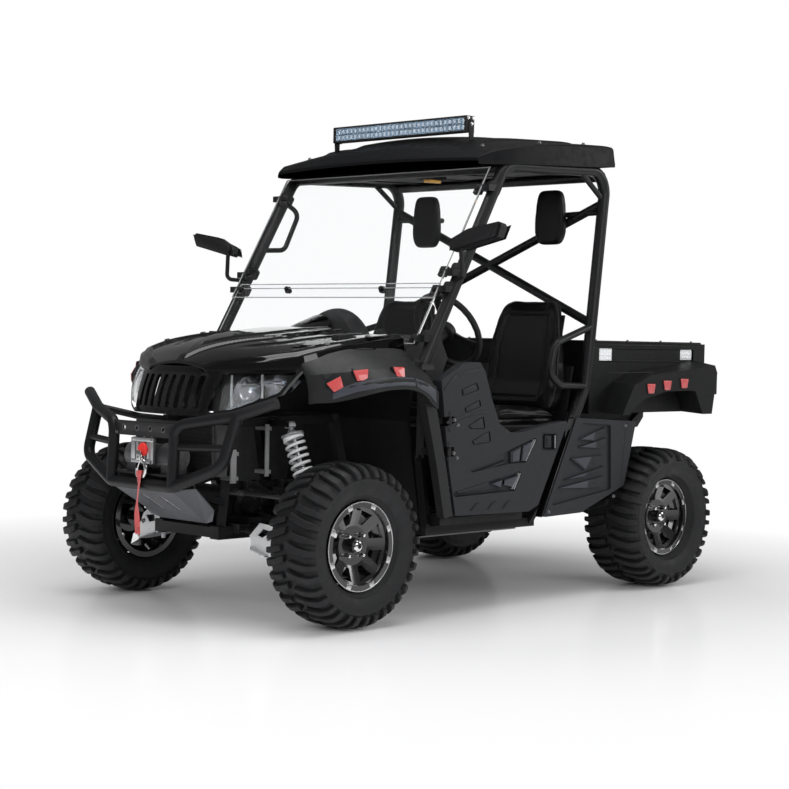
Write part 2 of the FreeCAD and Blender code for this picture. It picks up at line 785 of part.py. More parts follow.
hood_stations = [
    (552, 556, 1110, 1088, 1030),
    (700, 552, 1102, 1074, 1036),
    (845, 545, 1087, 1052, 1028),
    (935, 520, 1076, 1034, 1008),
    (1035, 485, 1058, 1008, 972),
    (1120, 392, 1034, 988, 963),
    (1200, 250, 1000, 970, 956),
    (1242, 170, 980, 957, 950),
]


def hood_section(x, half, crown, edge, base):
    """A section across the hood: a crowned top over two short sides."""
    arc = Part.Arc(V(x, half, edge), V(x, 0, crown), V(x, -half, edge)).toShape()
    sides = Part.makePolygon([V(x, -half, edge), V(x, -half, base), V(x, half, base), V(x, half, edge)])
    return Part.Wire([arc] + sides.Edges)


def hood():
    """A thin crowned shell with the raised scoop in front of the windshield."""
    outer = Part.makeLoft([hood_section(cab + x, *rest) for x, *rest in hood_stations], True, False)
    inner = []
    for x, half, crown, edge, base in hood_stations:
        shift = {552: hood_wall, 1242: -hood_wall}.get(x, 0)
        inner.append(hood_section(cab + x + shift, half - hood_wall, crown - hood_wall, edge - hood_wall, base - 30))
    bulge = Part.makeLoft([scoop(690, 70, 1060, 1092), scoop(600, 125, 1060, 1132), scoop(490, 150, 1060, 1176)],
                          True, False)
    slope = [(cab + pillar_x(z) + 55, z) for z in (1040, 1240)]
    behind = side_prism(slope + [(cab + 300, 1240), (cab + 300, 1040)], -400, 400)
    shell = outer.cut(Part.makeLoft(inner, True, False))
    return joined(shell, bulge.cut(behind).cut(Part.makeLoft(inner, True, False)))


def scoop(x, half, base, top):
    arc = Part.Arc(V(cab + x, half, base), V(cab + x, 0, top), V(cab + x, -half, base)).toShape()
    return Part.Wire([arc, Part.LineSegment(V(cab + x, -half, base), V(cab + x, half, base)).toShape()])


nose_curves = [
    (968, [(1246, 0), (1224, 170), (1196, 235), (1104, 390), (1020, 500)]),
    (872, [(1290, 0), (1264, 180), (1240, 235), (1150, 390), (1074, 500)]),
    (774, [(1311, 0), (1285, 180), (1268, 225), (1180, 372), (1090, 500)]),
]


def nose_skin(wall):
    """The curved face of the nose, as a sheet of given thickness."""
    outer = Part.makeLoft([nose_ring(z, points, 0) for z, points in nose_curves], True, False)
    inner = Part.makeLoft([nose_ring(z, points, wall) for z, points in nose_curves], True, False)
    return outer.cut(inner)


def nose_ring(z, points, inset):
    half = [V(cab + x - inset, y, z) for x, y in points]
    whole = [V(p.x, -p.y, p.z) for p in reversed(half[1:])] + half
    curve = Part.BSplineCurve()
    curve.interpolate(whole)
    back = Part.makePolygon([whole[-1], V(cab + 980, 500, z), V(cab + 980, -500, z), whole[0]])
    return Part.Wire([curve.toShape()] + back.Edges)


lens_outline = [(240, 940), (400, 951), (484, 955), (446, 871), (310, 807), (216, 787)]


def headlight():
    lens = front_prism(lens_outline, cab + 990, cab + 1400, 10)
    return nose_skin(30).common(lens)


def front_grille():
    """The dark mask round the head lamps, with a row of upright slots."""
    half = [(400, 962), (496, 966), (456, 864), (314, 797), (222, 776)]
    whole = half + [(-y, z) for y, z in reversed(half)]
    mask = nose_skin(16).common(front_prism(whole, cab + 990, cab + 1400, 6))
    lenses = [front_prism([(s * y, z) for y, z in lens_outline], cab + 980, cab + 1400, 10) for s in (-1, 1)]
    slots = [front_prism([(y - 13, 928), (y + 13, 928), (y + 13, 802), (y - 13, 802)], cab + 1100, cab + 1400, 9)
             for y in (-168 + 48 * i for i in range(8))]
    return mask.cut(Part.makeCompound(lenses + slots))


fender_stations = [
    (542, 556, 1030, 690, 930, 735, 880, 815),
    (600, 556, 1045, 700, 955, 738, 905, 855),
    (680, 556, 1045, 702, 965, 740, 925, 889),
    (760, 552, 1045, 700, 970, 740, 930, 893),
    (845, 545, 1040, 690, 965, 735, 925, 886),
    (935, 520, 1020, 630, 955, 668, 905, 857),
    (1000, 495, 1000, 565, 945, 590, 890, 838),
    (1035, 480, 985, 520, 940, 540, 880, 832),
]


def fender_section(x, y0, z0, y1, z1, y2, z2, z3):
    """A section across the fender: from the hood's edge over the shoulder to the lip."""
    wall = 12
    points = [(y0, z0), (y1, z1), (y2, z2), (y2, z3), (y2 - wall, z3), (y2 - wall, z2 - 3), (y1 - 8, z1 - wall),
              (y0, z0 - wall - 4)]
    return outline([V(cab + x, y, z) for y, z in points])


def front_fender():
    """The arched fender with its lip, and the leg that runs down beside the door."""
    arch = Part.makeLoft([fender_section(*station) for station in fender_stations], True, False)
    leg = side_prism([(584, 850), (512, 600), (462, 386), (411, 391), (459, 600), (507, 780), (532, 862), (560, 900),
                      (600, 900)], 666, 703, 0, cab)
    knee = side_prism([(550, 904), (600, 912), (596, 862), (570, 832), (546, 822)], 680, 728, 0, cab)
    return joined(arch, leg, knee)


# Cab

def pillar_x(z):
    """How far forward the leaning front pillar lies at a height, from the cab's datum."""
    return pillar_foot - (z - cage_foot_height - 13) * pillar_slope


def hoop_x(z):
    """How far forward the leaning rear hoop lies at a height, from the cab's datum."""
    return hoop_hip + (hoop_top - hoop_hip) * (z - hip_height) / (cage_rear_height - hip_height)


def cage_top(x):
    """How high the top tubes of the cage lie at a place along the cab."""
    front = pillar_x(cage_front_height)
    return cage_front_height + (cage_rear_height - cage_front_height) * (front - x) / (front - hoop_top)


def cabin_tub():
    """Floor, firewall, seat box, deck, back wall, skirts and sills as one moulding."""
    half = tub_half_width
    floor = box(cab - 60, cab + 446, -588, 588, rail_top, rail_top + tub_wall)
    firewall = side_prism([(440, 350), (452, 350), (532, 760), (500, 1000), (488, 1000), (519, 760)], -half, half, 0,
                          cab)
    front = side_prism([(-60, 350), (-48, 350), (-28, 690), (-40, 690)], -596, 596, 0, cab)
    deck = box(cab - 412, cab - 28, -596, 596, 690, 690 + tub_wall)
    back = side_prism([(-400, 690), (-412, 690), (-470, 980), (-458, 980)], -588, 588, 0, cab)
    parts = [floor, firewall, front, deck, back]
    for s in (-1, 1):
        parts.append(box(cab - 60, cab + 440, s * 548, s * 660, rail_top, 380))
        parts.append(side_prism([(-40, 702), (-400, 702), (-250, 400), (-55, 360)], s * 584, s * 596, 0, cab))
        ridges = [box(cab + 40 + 90 * i, cab + 70 + 90 * i, s * 60, s * 500, rail_top, rail_top + tub_wall + 5)
                  for i in range(4)]
        parts += ridges
    return joined(*parts)


def dashboard():
    """The panel, its cowl under the windshield, the instrument pod and the steering column."""
    body = side_prism([(500, 940), (536, 1030), (532, 1052), (512, 1084), (430, 1100), (330, 1085), (290, 1010),
                       (330, 930), (420, 900)], -545, 545, 14, cab)
    pod = Part.makeLoft([scoop(440, 150, 1080, 1188), scoop(360, 140, 1080, 1202), scoop(282, 110, 1060, 1140)],
                        True, False)
    axis = steering_axis()
    column = Part.makeCylinder(24, 240, steering_centre() - axis * 31, axis * -1)
    glovebox = box(cab + 280, cab + 420, -470, -150, 930, 1060)
    return joined(body, pod, column, glovebox)


def steering_axis():
    return V(-0.871, 0, 0.491)


def steering_centre():
    return V(cab + 107, 375, 1123)


def steering_wheel():
    """A rim with three spokes and a hub."""
    rim_section = [(steering_wheel_radius - 13 + 13 * cos(pi * (i + 0.5) / 4), 13 * sin(pi * (i + 0.5) / 4))
                   for i in range(8)]
    hoop = Part.Face(outline([V(r, 0, z) for r, z in rim_section])).revolve(V(0, 0, 0), V(0, 0, 1), 360)
    parts = [hoop, Part.makeCylinder(42, 26, V(0, 0, -30))]
    for i in range(3):
        angle = 2 * pi * i / 3 + pi / 2
        reach = steering_wheel_radius - 10
        parts.append(bar((30 * cos(angle), 30 * sin(angle), -16), (reach * cos(angle), reach * sin(angle), -2), 26, 9))
    whole = joined(*parts)
    whole.Placement = FreeCAD.Placement(steering_centre(), FreeCAD.Rotation(V(0, 0, 1), steering_axis()))
    return whole


def seat(y):
    """A bucket seat: a deep cushion with side bolsters and a back with rounded shoulders."""
    cushion = side_prism([(-60, 702), (-10, 714), (31, 742), (13, 796), (-60, 800), (-220, 790), (-395, 775),
                          (-395, 702)], y - 215, y + 215, 14, cab)
    bolsters = [side_prism([(-20, 790), (-120, 812), (-330, 812), (-395, 780), (-395, 740), (-20, 740)], y + a, y + b,
                           12, cab) for a, b in ((-215, -150), (150, 215))]
    lean = side_prism([(-290, 770), (-392, 770), (-428, 907), (-440, 1093), (-480, 1258), (-462, 1276), (-428, 1272),
                       (-380, 1093), (-350, 907)], y - 215, y + 215, 16, cab)
    face = front_prism([(y - 215, 760), (y + 215, 760), (y + 218, 900), (y + 205, 1110), (y + 165, 1240), (y + 95, 1280),
                        (y - 95, 1280), (y - 165, 1240), (y - 205, 1110), (y - 218, 900)], cab - 500, cab - 200, 40)
    return joined(cushion, lean.common(face), *bolsters)


panel_fins = [
    [(-377, 672), (-556, 722), (-480, 664)],
    [(-372, 640), (-567, 676), (-525, 630)],
    [(-321, 593), (-540, 600), (-416, 541)],
    [(-282, 504), (-552, 553), (-417, 516)],
    [(-234, 470), (-545, 510), (-529, 462)],
]


def side_panel():
    """The panel behind the door, with a sunk field, pointed fins across it and pads on the hoop."""
    inner = belt_half_width - panel_thickness
    points = [(-350, 765), (-659, 748), (-769, 742), (-693, 465), (-395, 361), (-146, 355)]
    panel = side_prism(points, inner, belt_half_width, 8, cab)
    field = side_prism([(-395, 742), (-588, 730), (-600, 450), (-190, 398)], belt_half_width - 10, belt_half_width + 5,
                       12, cab)
    fins = [side_prism(fin, belt_half_width - 12, belt_half_width - 1, 0, cab) for fin in panel_fins]
    pads = [box(cab - 402, cab - 362, 626, inner, 680, 720), box(cab - 236, cab - 196, 636, inner, 430, 470)]
    return joined(panel.cut(field), *fins, *pads)


# Doors

door_outline = [(496, 925), (364, 994), (270, 997), (240, 962), (197, 854), (145, 750), (75, 713), (4, 712),
                (-138, 738), (-295, 755), (-109, 408), (-49, 385), (398, 391), (443, 588)]


door_pockets = [
    [(381, 889), (289, 918), (273, 887), (376, 862)],
    [(361, 816), (268, 849), (258, 821), (356, 796)],
    [(339, 744), (244, 784), (230, 731), (324, 731)],
    [(315, 684), (204, 724), (196, 677), (304, 668)],
]
door_fields = [
    [(428, 545), (-104, 694), (-27, 587), (76, 586)],
    [(425, 483), (-7, 555), (40, 474), (400, 466)],
]
door_facets = [
    [(70, 634), (4, 656), (14, 592), (66, 590)],
    [(-6, 658), (-76, 678), (-18, 594), (2, 594)],
    [(185, 509), (115, 524), (125, 489)],
    [(107, 521), (14, 538), (58, 486)],
    [(390, 553), (110, 634), (108, 612), (380, 546)],
    [(380, 538), (100, 598), (110, 589), (370, 534)],
    [(390, 486), (200, 518), (200, 500), (380, 480)],
]
latch_pocket = [(-130, 703), (-214, 700), (-216, 634), (-129, 637)]


def door():
    """A half door with pointed sunk fields, a latch pocket and barrels round its hinge pins."""
    inner = belt_half_width - door_thickness
    skin = belt_half_width + 5
    body = side_prism(door_outline, inner, belt_half_width, 10, cab)
    sunk = [side_prism(points, belt_half_width - 5, skin, 8, cab) for points in door_pockets]
    sunk += [side_prism(points, belt_half_width - 14, skin, 10, cab) for points in door_fields]
    sunk.append(side_prism(latch_pocket, belt_half_width - 20, skin, 10, cab))
    facets = [side_prism(points, belt_half_width - 16, belt_half_width - 4, 0, cab) for points in door_facets]
    paddle = side_prism([(-150, 694), (-190, 692), (-192, 644), (-150, 646)], belt_half_width - 22,
                        belt_half_width - 6, 4, cab)
    body = joined(body.cut(Part.makeCompound(sunk)), *facets, paddle)
    cuts = []
    barrels = []
    for z in door_hinge_heights:
        cuts.append(box(hinge_x - 25, hinge_x + 90, inner - 5, belt_half_width + 5, z - 19, z + 19))
        cuts.append(Part.makeCylinder(5 + pin_gap, 80, V(hinge_x, hinge_y, z - 40)))
        for low in (z - 38, z + 15):
            barrels.append(Part.makeCylinder(11, 23, V(hinge_x, hinge_y, low)))
            cuts.append(box(hinge_x - 40, hinge_x, belt_half_width + 0.5, belt_half_width + 20, low, low + 23))
    return joined(body, *barrels).cut(Part.makeCompound(cuts))


# Cage and roof

def roll_cage():
    parts = []
    front = pillar_x(cage_front_height)
    lift = cage_rear_height
    for s in (-1, 1):
        post = cab + pillar_foot
        foot = s * pillar_foot_half
        parts.append(tube([(pillar_foot, foot, cage_foot_height + 7), (front, s * 628, cage_front_height),
                           (hoop_top, s * 620, lift), (hoop_hip, s * 620, hip_height), (-196, foot, 418)],
                          cage_tube, cage_bend, cab))
        parts.append(tube([(hoop_x(1155), s * 622, 1155), (-255, s * 655, 1078), (-222, s * 655, 950),
                           (-300, s * 650, hip_height + 10), (hoop_hip - 2, s * 622, hip_height + 2)], hip_tube, 55, cab))
        parts.append(rod((cab + hoop_x(lift - 129), s * 620, lift - 129), (cab - 430, s * 622, cage_top(-430) - 1), 12))
        parts.append(box(post - 36, post + 36, foot - 34, foot + 34, cage_foot_height, cage_foot_height + 13))
        parts.append(rod((cab + hoop_x(lift - 139), s * 620, lift - 139), (cab + hoop_x(1165), s * -620, 1165),
                         brace_tube))
        parts.append(rod((cab + hoop_x(lift - 179), s * 610, lift - 179), (cab + hoop_x(lift - 189) + 14, s * 310,
                                                                        lift - 189), 12))
        for z in (cage_foot_height + 109, cage_foot_height + 307, cage_foot_height + 373, cage_front_height - 99):
            x = cab + pillar_x(z)
            parts.append(box(x, x + 58, s * 590, s * 650, z - 13, z + 13))
    parts.append(rod((cab + front - 8, -628, cage_front_height - 9), (cab + front - 8, 628, cage_front_height - 9),
                     cage_tube - 3))
    parts.append(rod((cab + hoop_top + 25, -620, lift - 25), (cab + hoop_top + 25, 620, lift - 25), cage_tube - 3))
    parts.append(grab_handle())
    return joined(*parts)


def grab_handle():
    """A bent handle inside the passenger's front pillar."""
    high = cage_front_height - 109
    low = cage_front_height - 335
    return tube([(pillar_x(high), -630, high), (pillar_x(high - 50) - 93, -600, high - 50),
                 (pillar_x(low + 6) - 108, -600, low + 6), (pillar_x(low), -633, low)], 11, 40, cab)


def pane(z0, z1, offset, half):
    """One flat sheet leaning with the front pillars, ahead of them."""
    x0 = pillar_x(z0) + offset
    x1 = pillar_x(z1) + offset
    return side_prism([(x0, z0), (x0 + pane_thickness, z0), (x1 + pane_thickness, z1), (x1, z1)], -half, half, 0, cab)


roof_stations = [
    (195, 13, 29, 47, 605),
    (130, 12, 56, 102, 640),
    (-60, 17, 83, 145, 662),
    (-420, 22, 102, 148, 668),
    (-620, 27, 101, 136, 660),
    (-650, 30, 75, 106, 645),
]


def roof_section(x, low, side, crown, half):
    """A section across the roof, with its heights above the top tubes of the cage."""
    base = cage_top(x)
    tips = [V(cab + x, half - 8, base + side), V(cab + x, -half + 8, base + side)]
    arc = Part.Arc(tips[0], V(cab + x, 0, base + crown), tips[1]).toShape()
    sides = Part.makePolygon([tips[1], V(cab + x, -half, base + low), V(cab + x, half, base + low), tips[0]])
    return Part.Wire([arc] + sides.Edges)


def roof_form():
    return Part.makeLoft([roof_section(*s) for s in roof_stations], True, False)


def roof():
    """A hollow crowned lid, with bosses down to the top tubes of the cage."""
    outer = roof_form()
    inner = Part.makeLoft([roof_section(x, low - 30, side - 14, crown - 14, half - 16)
                           for x, low, side, crown, half in roof_stations[1:5]], True, False)
    parts = [outer.cut(inner)]
    for s in (-1, 1):
        for x in (-80, -500):
            boss = box(cab + x, cab + x + 50, s * 606, s * 630, cage_top(x) + 12, cage_top(x) + 155)
            parts.append(boss.common(outer))
    return joined(*parts)


def light_bar():
    """A long lamp housing with fins behind, on two folded feet."""
    x = cab + 4
    z = cage_front_height + 153
    body = box(x, x + 42, -395, 395, z, z + 68)
    lens = box(x + 38, x + 50, -388, 388, z + 8, z + 60)
    fins = [box(x - 8, x + 2, -390, 390, z + 4 + 12 * i, z + 9 + 12 * i) for i in range(5)]
    parts = [body.cut(lens), box(x + 34, x + 39, -388, 388, z + 8, z + 60)] + fins
    for s in (-1, 1):
        parts.append(box(x + 4, x + 34, s * 395, s * 402, z - 52, z + 48))
        parts.append(box(x - 2, x + 40, s * 395, s * 424, z - 56, z - 28))
    return joined(*parts)


def mirror():
    """A leaf-shaped head on a bent arm clamped to the front pillar."""
    z = cage_foot_height + mirror_height
    x = pillar_x(z)
    leaf = [(650, 104), (905, 158), (930, 219), (750, 192), (658, 148)]
    head = Part.Face(rounded([V(cab + x + 70, py, z + pz) for py, pz in leaf], 16)).extrude(V(-34, 0, -6))
    back = [V(cab + x + 84, 0.9 * py + 78, z + 0.8 * pz + 34) for py, pz in leaf]
    dome = Part.Face(rounded(back, 14)).extrude(V(-16, 0, 0))
    arm = tube([(x, 640, z), (x + 50, 712, z + 6), (x + 56, 700, z + 124)], 9, 24, cab)
    return joined(head, dome, arm)


def headrest(y):
    z = cage_rear_height - 197
    points = [(y - 68, z + 125), (y + 68, z + 125), (y + 86, z - 22), (y + 66, z - 125), (y - 66, z - 125),
              (y - 86, z - 22)]
    x = cab + hoop_x(z)
    return front_prism(points, x + 21, x + 81, 20)


# Drive

def engine():
    """The engine and gearbox as one block on four feet, under the deck."""
    parts = [box(cab - 600, cab - 110, -200, 200, 366, 640)]
    for x in (cab - 560, cab - 190):
        parts.append(box(x, x + 60, -262, 262, rail_top, 376))
    for x, radius in ((cab - 440, 120), (cab - 220, 84)):
        parts.append(Part.makeCylinder(radius, 36, V(x, -226, 510), V(0, 1, 0)))
    return joined(*parts)


def muffler():
    """A can across the rear with its pipe to the engine, a tail pipe and two hangers."""
    x = rear_axle - 310
    can = Part.makeCylinder(74, 370, V(x, -185, 565), V(0, 1, 0))
    pipe = tube([(x, 110, 565), (x + 120, 110, 565), (x + 210, 110, 530), (cab - 600, 110, 530)], 20, 70)
    tip = rod((x, -150, 560), (x - 100, -150, 548), 20)
    hangers = [rod((x, y, 620), (x + 40, y, 700), 8) for y in (-120, 120)]
    return joined(can, pipe, tip, *hangers)


def tail_lamp(s):
    """A lens on the rear face of the bed's flare."""
    return box(tail + 58, tail + 110, s * 622, s * 700, 862, 940)


def hitch_receiver():
    """A square receiver with its pin hole, held by two gussets on the rear cross member."""
    z = hitch_height
    outer = hitch_bar / 2 + hitch_wall
    inner = hitch_bar / 2
    body = box(tail + 20, rear_axle - 150, -outer, outer, z - outer, z + outer)
    parts = [body]
    for s in (-1, 1):
        parts.append(plan_prism([(tail + 190, s * 20), (tail + 225, s * 30), (rear_axle - 168, s * 235),
                                 (rear_axle - 150, s * 235), (rear_axle - 150, s * 20)], z - 30, z - 20))
    slot = box(tail, rear_axle - 170, -inner, inner, z - inner, z + inner)
    pin = Part.makeCylinder(hitch_pin_radius, 120, V(tail + 60, -60, z), V(0, 1, 0))
    return joined(*parts).cut(slot).cut(pin)


# Bed

flare_arch = [(276, 772), (268, 786), (166, 842), (9, 872), (-174, 876), (-214, 871), (-276, 767), (-349, 767),
              (-386, 955)]
flare_top = [(-366, 990), (-220, 975), (130, 945), (250, 900), (330, 772)]


def bed_flare():
    """A fender moulded to the side of the bed, arched over the rear wheel."""
    far = outline([V(rear_axle + x, flare_lip, z) for x, z in flare_arch + flare_top])
    near = outline([V(rear_axle + x, bed_half_width - 10, z + 8 + 0.1 * max(0, z - 850)) for x, z in
                    flare_arch + flare_top])
    return Part.makeLoft([near, far], True, True)


def bed():
    """A tray with ribbed floor and walls, flares, and the two beams it tips on."""
    w = bed_half_width
    front = tail + bed_length
    rear = tail + tailgate_thickness + 6
    floor_low = bed_floor_top - bed_sheet
    outer = box(rear, front, -w, w, floor_low, bed_top)
    inner = box(rear - 10, front - bed_wall, bed_wall - w, w - bed_wall, bed_floor_top, bed_top + 10)
    tray = outer.cut(inner)
    panels = []
    for s in (-1, 1):
        panels.append(box(rear + 60, front - 60, s * (w - 8), s * (w + 4), 1000, bed_top - 30))
        panels.append(box(rear + 40, front - 50, s * (w - bed_wall - 4), s * (w - bed_wall + 8), 830, bed_top - 40))
    tray = tray.cut(Part.makeCompound(panels))
    ridges = [box(rear + 30, front - bed_wall - 20, y, y + 34, bed_floor_top, bed_floor_top + 8)
              for y in (-500 + 108 * i for i in range(10)) if abs(y + 17) > 30]
    parts = [tray] + both(bed_flare())
    x, z = bed_pivot
    for s in (-1, 1):
        parts.append(box(x, front - 60, s * (rail_spread - 15), s * (rail_spread + 15), bed_rail_top + seat_gap,
                         floor_low + 2))
        parts.append(box(x - 14, x + 30, s * (rail_spread - 15), s * (rail_spread + 15), z, floor_low + 2))
        parts.append(Part.makeCylinder(20, 40, V(x, s * rail_spread - 20, z), V(0, 1, 0)))
        parts.append(box(tail + 4, rear + 30, s * (w - 3), s * (w + 5), 768, 792))
        parts.append(rod((tail + 16, s * (w - 24), 780), (tail + 16, s * w, 780), tailgate_pin))
    bore = Part.makeCylinder(10 + pin_gap, 700, V(x, -350, z), V(0, 1, 0))
    return joined(*parts).cut(bore)


def tailgate():
    """A ribbed panel that drops on pins at the rear corners of the bed."""
    w = bed_half_width
    x = tail
    panel = box(x, x + tailgate_thickness, pivot_gap - w, w - pivot_gap, 774, bed_top - 4)
    pocket = [box(x - 5, x + 7, y, y + 340, 812, bed_top - 60) for y in (-550, -170, 210)]
    bores = [rod((x + 16, s * (w - 26), 780), (x + 16, s * w, 780), tailgate_pin + pin_gap) for s in (-1, 1)]
    return panel.cut(Part.makeCompound(pocket + bores))


def save_wheels():
    for name, (x, y, width) in wheel_places.items():
        centre = (x, y, tyre_radius)
        save("tyre_" + name, tyre(centre, width))
        save("rim_" + name, rim(centre, 1 if y > 0 else -1))


def save_all():
    """Each piece is cut by what carries it, so that their faces meet."""
    frame = chassis_frame()
    save("chassis_frame", frame)
    save("skid_plate", skid_plate())
    bumper = front_bumper().cut(frame)
    save("front_bumper", bumper)
    save("bumper_skid", bumper_skid().cut(bumper))
    winch_body = winch().cut(bumper)
    save("winch", winch_body)
    hook = winch_hook()
    save("winch_hook", hook)
    save("hook_strap", hook_strap().cut(hook))
    arms = suspension_arms()
    save("suspension_arms", *[arm_shape.cut(frame) for arm_shape in arms])
    plates = [plate.cut(frame).cut(Part.makeCompound(arms)) for plate in bright_plates()]
    save("bright_plates", *plates)
    save("radiator", radiator().cut(frame))
    cage = roll_cage()
    joint = cage_foot_height + pane_joint
    panes = [pane(cage_foot_height + pane_bottom, joint + 65, 42, pane_half_width),
             pane(joint, cage_front_height - 9, 52, pane_half_width + 10)]
    cage = cage.cut(Part.makeCompound(panes)).cut(frame)
    save("roll_cage", cage)
    save("windshield", *panes)
    lid = hood()
    save("hood", lid)
    mask = front_grille().cut(lid)
    lamps = [lamp.cut(lid).cut(mask) for lamp in both(headlight())]
    save("front_grille", mask)
    save("headlights", *lamps)
    fenders = [shape.cut(frame).cut(cage).cut(lid).cut(mask) for shape in both(front_fender())]
    save("front_fenders", *[shape.cut(Part.makeCompound(lamps)) for shape in fenders])
    tub = cabin_tub().cut(frame).cut(cage)
    save("cabin_tub", tub)
    save("dashboard", dashboard().cut(tub))
    save("steering_wheel", steering_wheel())
    save("seats", seat(375), seat(-375))
    save("side_panels", *[panel.cut(cage) for panel in both(side_panel())])
    save("door_left", door())
    save("door_right", mirrored(door()))
    lid_top = roof().cut(cage)
    save("roof", lid_top)
    save("light_bar", light_bar().cut(roof_form()).cut(lid_top))
    save("mirrors", *[side.cut(cage) for side in both(mirror())])
    save("headrests", *[headrest(y).cut(cage) for y in (375, -375)])
    for name, s in (("left", 1), ("right", -1)):
        save("knuckle_" + name, knuckle(front_axle, s, front_half_track, True))
    save("rear_knuckles", *[knuckle(rear_axle, s, rear_half_track, False) for s in (-1, 1)])
    save("tie_rod_left", tie_rod(1))
    save("tie_rod_right", tie_rod(-1))
    save("steering_rack", steering_rack())
    pairs = [(axle, s) for axle in (front_axle, rear_axle) for s in (-1, 1)]
    save("shocks", *[shock(axle, s) for axle, s in pairs])
    save("springs", *[spring(axle, s) for axle, s in pairs])
    save("axles", *axles())
    block = engine()
    save("engine", block)
    save("muffler", muffler().cut(block).cut(frame))
    save("hitch_receiver", hitch_receiver().cut(frame))
    tray = bed()
    save("bed", tray)
    save("tail_lamps", *[tail_lamp(s).cut(tray) for s in (-1, 1)])
    save("tailgate", tailgate())
    save_wheels()


os.makedirs("parts", exist_ok=True)
save_all()
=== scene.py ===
import json
from math import cos, pi, radians, sin

import bmesh
import bpy
from mathutils import Matrix, Vector
from mathutils.bvhtree import BVHTree

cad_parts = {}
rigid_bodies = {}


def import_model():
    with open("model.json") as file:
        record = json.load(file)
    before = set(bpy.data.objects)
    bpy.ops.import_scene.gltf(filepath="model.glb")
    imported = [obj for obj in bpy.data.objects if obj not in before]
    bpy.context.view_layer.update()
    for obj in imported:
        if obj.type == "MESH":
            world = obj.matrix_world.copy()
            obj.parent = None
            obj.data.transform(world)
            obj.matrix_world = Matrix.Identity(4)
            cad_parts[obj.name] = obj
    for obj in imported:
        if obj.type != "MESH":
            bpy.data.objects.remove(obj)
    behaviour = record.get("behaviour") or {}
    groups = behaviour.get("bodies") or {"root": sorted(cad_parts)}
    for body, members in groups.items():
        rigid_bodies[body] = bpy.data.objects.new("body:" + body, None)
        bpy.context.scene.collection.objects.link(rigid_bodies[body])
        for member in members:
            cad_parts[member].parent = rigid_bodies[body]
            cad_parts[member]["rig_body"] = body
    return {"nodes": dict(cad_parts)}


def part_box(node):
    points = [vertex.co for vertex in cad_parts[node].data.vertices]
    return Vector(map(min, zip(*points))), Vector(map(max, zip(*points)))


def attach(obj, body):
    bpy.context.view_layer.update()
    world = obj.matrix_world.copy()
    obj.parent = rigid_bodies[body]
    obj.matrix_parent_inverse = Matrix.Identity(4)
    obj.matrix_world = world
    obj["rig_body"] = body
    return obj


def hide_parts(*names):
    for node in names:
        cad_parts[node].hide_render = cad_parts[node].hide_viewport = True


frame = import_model()
nodes = frame["nodes"]
scene = bpy.context.scene
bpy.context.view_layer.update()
print("frame loaded,", len(nodes), "nodes")

# camera, floor and lights

camera = dict(place=(5.5752, 5.4003, 1.0918), yaw=45.744, pitch=1.865, roll=1.242, lens=81.233)


def addCamera():
    yaw, pitch, roll = radians(camera["yaw"]), radians(camera["pitch"]), radians(camera["roll"])
    forward = Vector((-sin(yaw) * cos(pitch), -cos(yaw) * cos(pitch), -sin(pitch)))
    level = forward.cross(Vector((0, 0, 1))).normalized()
    upright = level.cross(forward)
    right = cos(roll) * level + sin(roll) * upright
    up = -sin(roll) * level + cos(roll) * upright
    data = bpy.data.cameras.new("camera")
    data.lens = camera["lens"]
    data.sensor_width = 36
    data.clip_end = 200
    eye = bpy.data.objects.new("camera", data)
    turn = Matrix((right, up, -forward)).transposed().to_4x4()
    eye.matrix_world = Matrix.Translation(camera["place"]) @ turn
    scene.collection.objects.link(eye)
    scene.camera = eye


addCamera()
scene.view_settings.view_transform = "Standard"


def newMaterial(name):
    material = bpy.data.materials.new(name)
    material.use_nodes = True
    tree = material.node_tree
    tree.nodes.clear()
    out = tree.nodes.new("ShaderNodeOutputMaterial")
    shader = tree.nodes.new("ShaderNodeBsdfPrincipled")
    tree.links.new(shader.outputs["BSDF"], out.inputs["Surface"])
    return material, tree, shader


def placeAt(point, direction):
    # a matrix with its Z axis along a direction
    turn = Vector(direction).to_track_quat("Z", "Y").to_matrix().to_4x4()
    return Matrix.Translation(point) @ turn


studio = dict(
    floor={"Base Color": (0.86, 0.86, 0.87), "Roughness": 0.16, "Specular IOR Level": 0.5},
    floorSize=60,
    floorDrop=0.0008,
    world=0.8,
    glossWorld=0.16,
    fadeStart=1.6,
    fadeEnd=3.4,
    unseen=("frontLeft", "farSide"),
    lamps=[
        # name, place, aim, size, power
        ("overhead", (0.4, 0.6, 4.6), (0, 0, 0.9), (4.2, 2.2), 130),
        ("frontLeft", (5.6, 1.4, 3.0), (0.4, 0, 0.8), (2.4, 1.8), 95),
        ("side", (1.0, 5.6, 2.6), (-0.2, 0, 0.8), (3.4, 1.6), 85),
        ("rearLeft", (-4.6, 3.6, 2.9), (-0.8, 0, 1.0), (2.2, 1.8), 65),
        ("farSide", (-0.5, -5.2, 3.2), (0, 0, 1.0), (3.4, 1.8), 60),
    ],
)


def plug(tree, value, socket):
    # a number or a colour is set on the socket, and another node's output is linked to it
    if isinstance(value, tuple):
        socket.default_value = (*value, 1)
    elif isinstance(value, (int, float)):
        socket.default_value = value
    else:
        tree.links.new(value, socket)


def remap(tree, value, low, high, fromLow=0.3, fromHigh=0.7):
    node = tree.nodes.new("ShaderNodeMapRange")
    for key, source in (("Value", value), ("From Min", fromLow), ("From Max", fromHigh), ("To Min", low),
                        ("To Max", high)):
        plug(tree, source, node.inputs[key])
    return node.outputs["Result"]


def combine(tree, operation, first, second):
    node = tree.nodes.new("ShaderNodeMath")
    node.operation = operation
    plug(tree, first, node.inputs[0])
    plug(tree, second, node.inputs[1])
    return node.outputs[0]


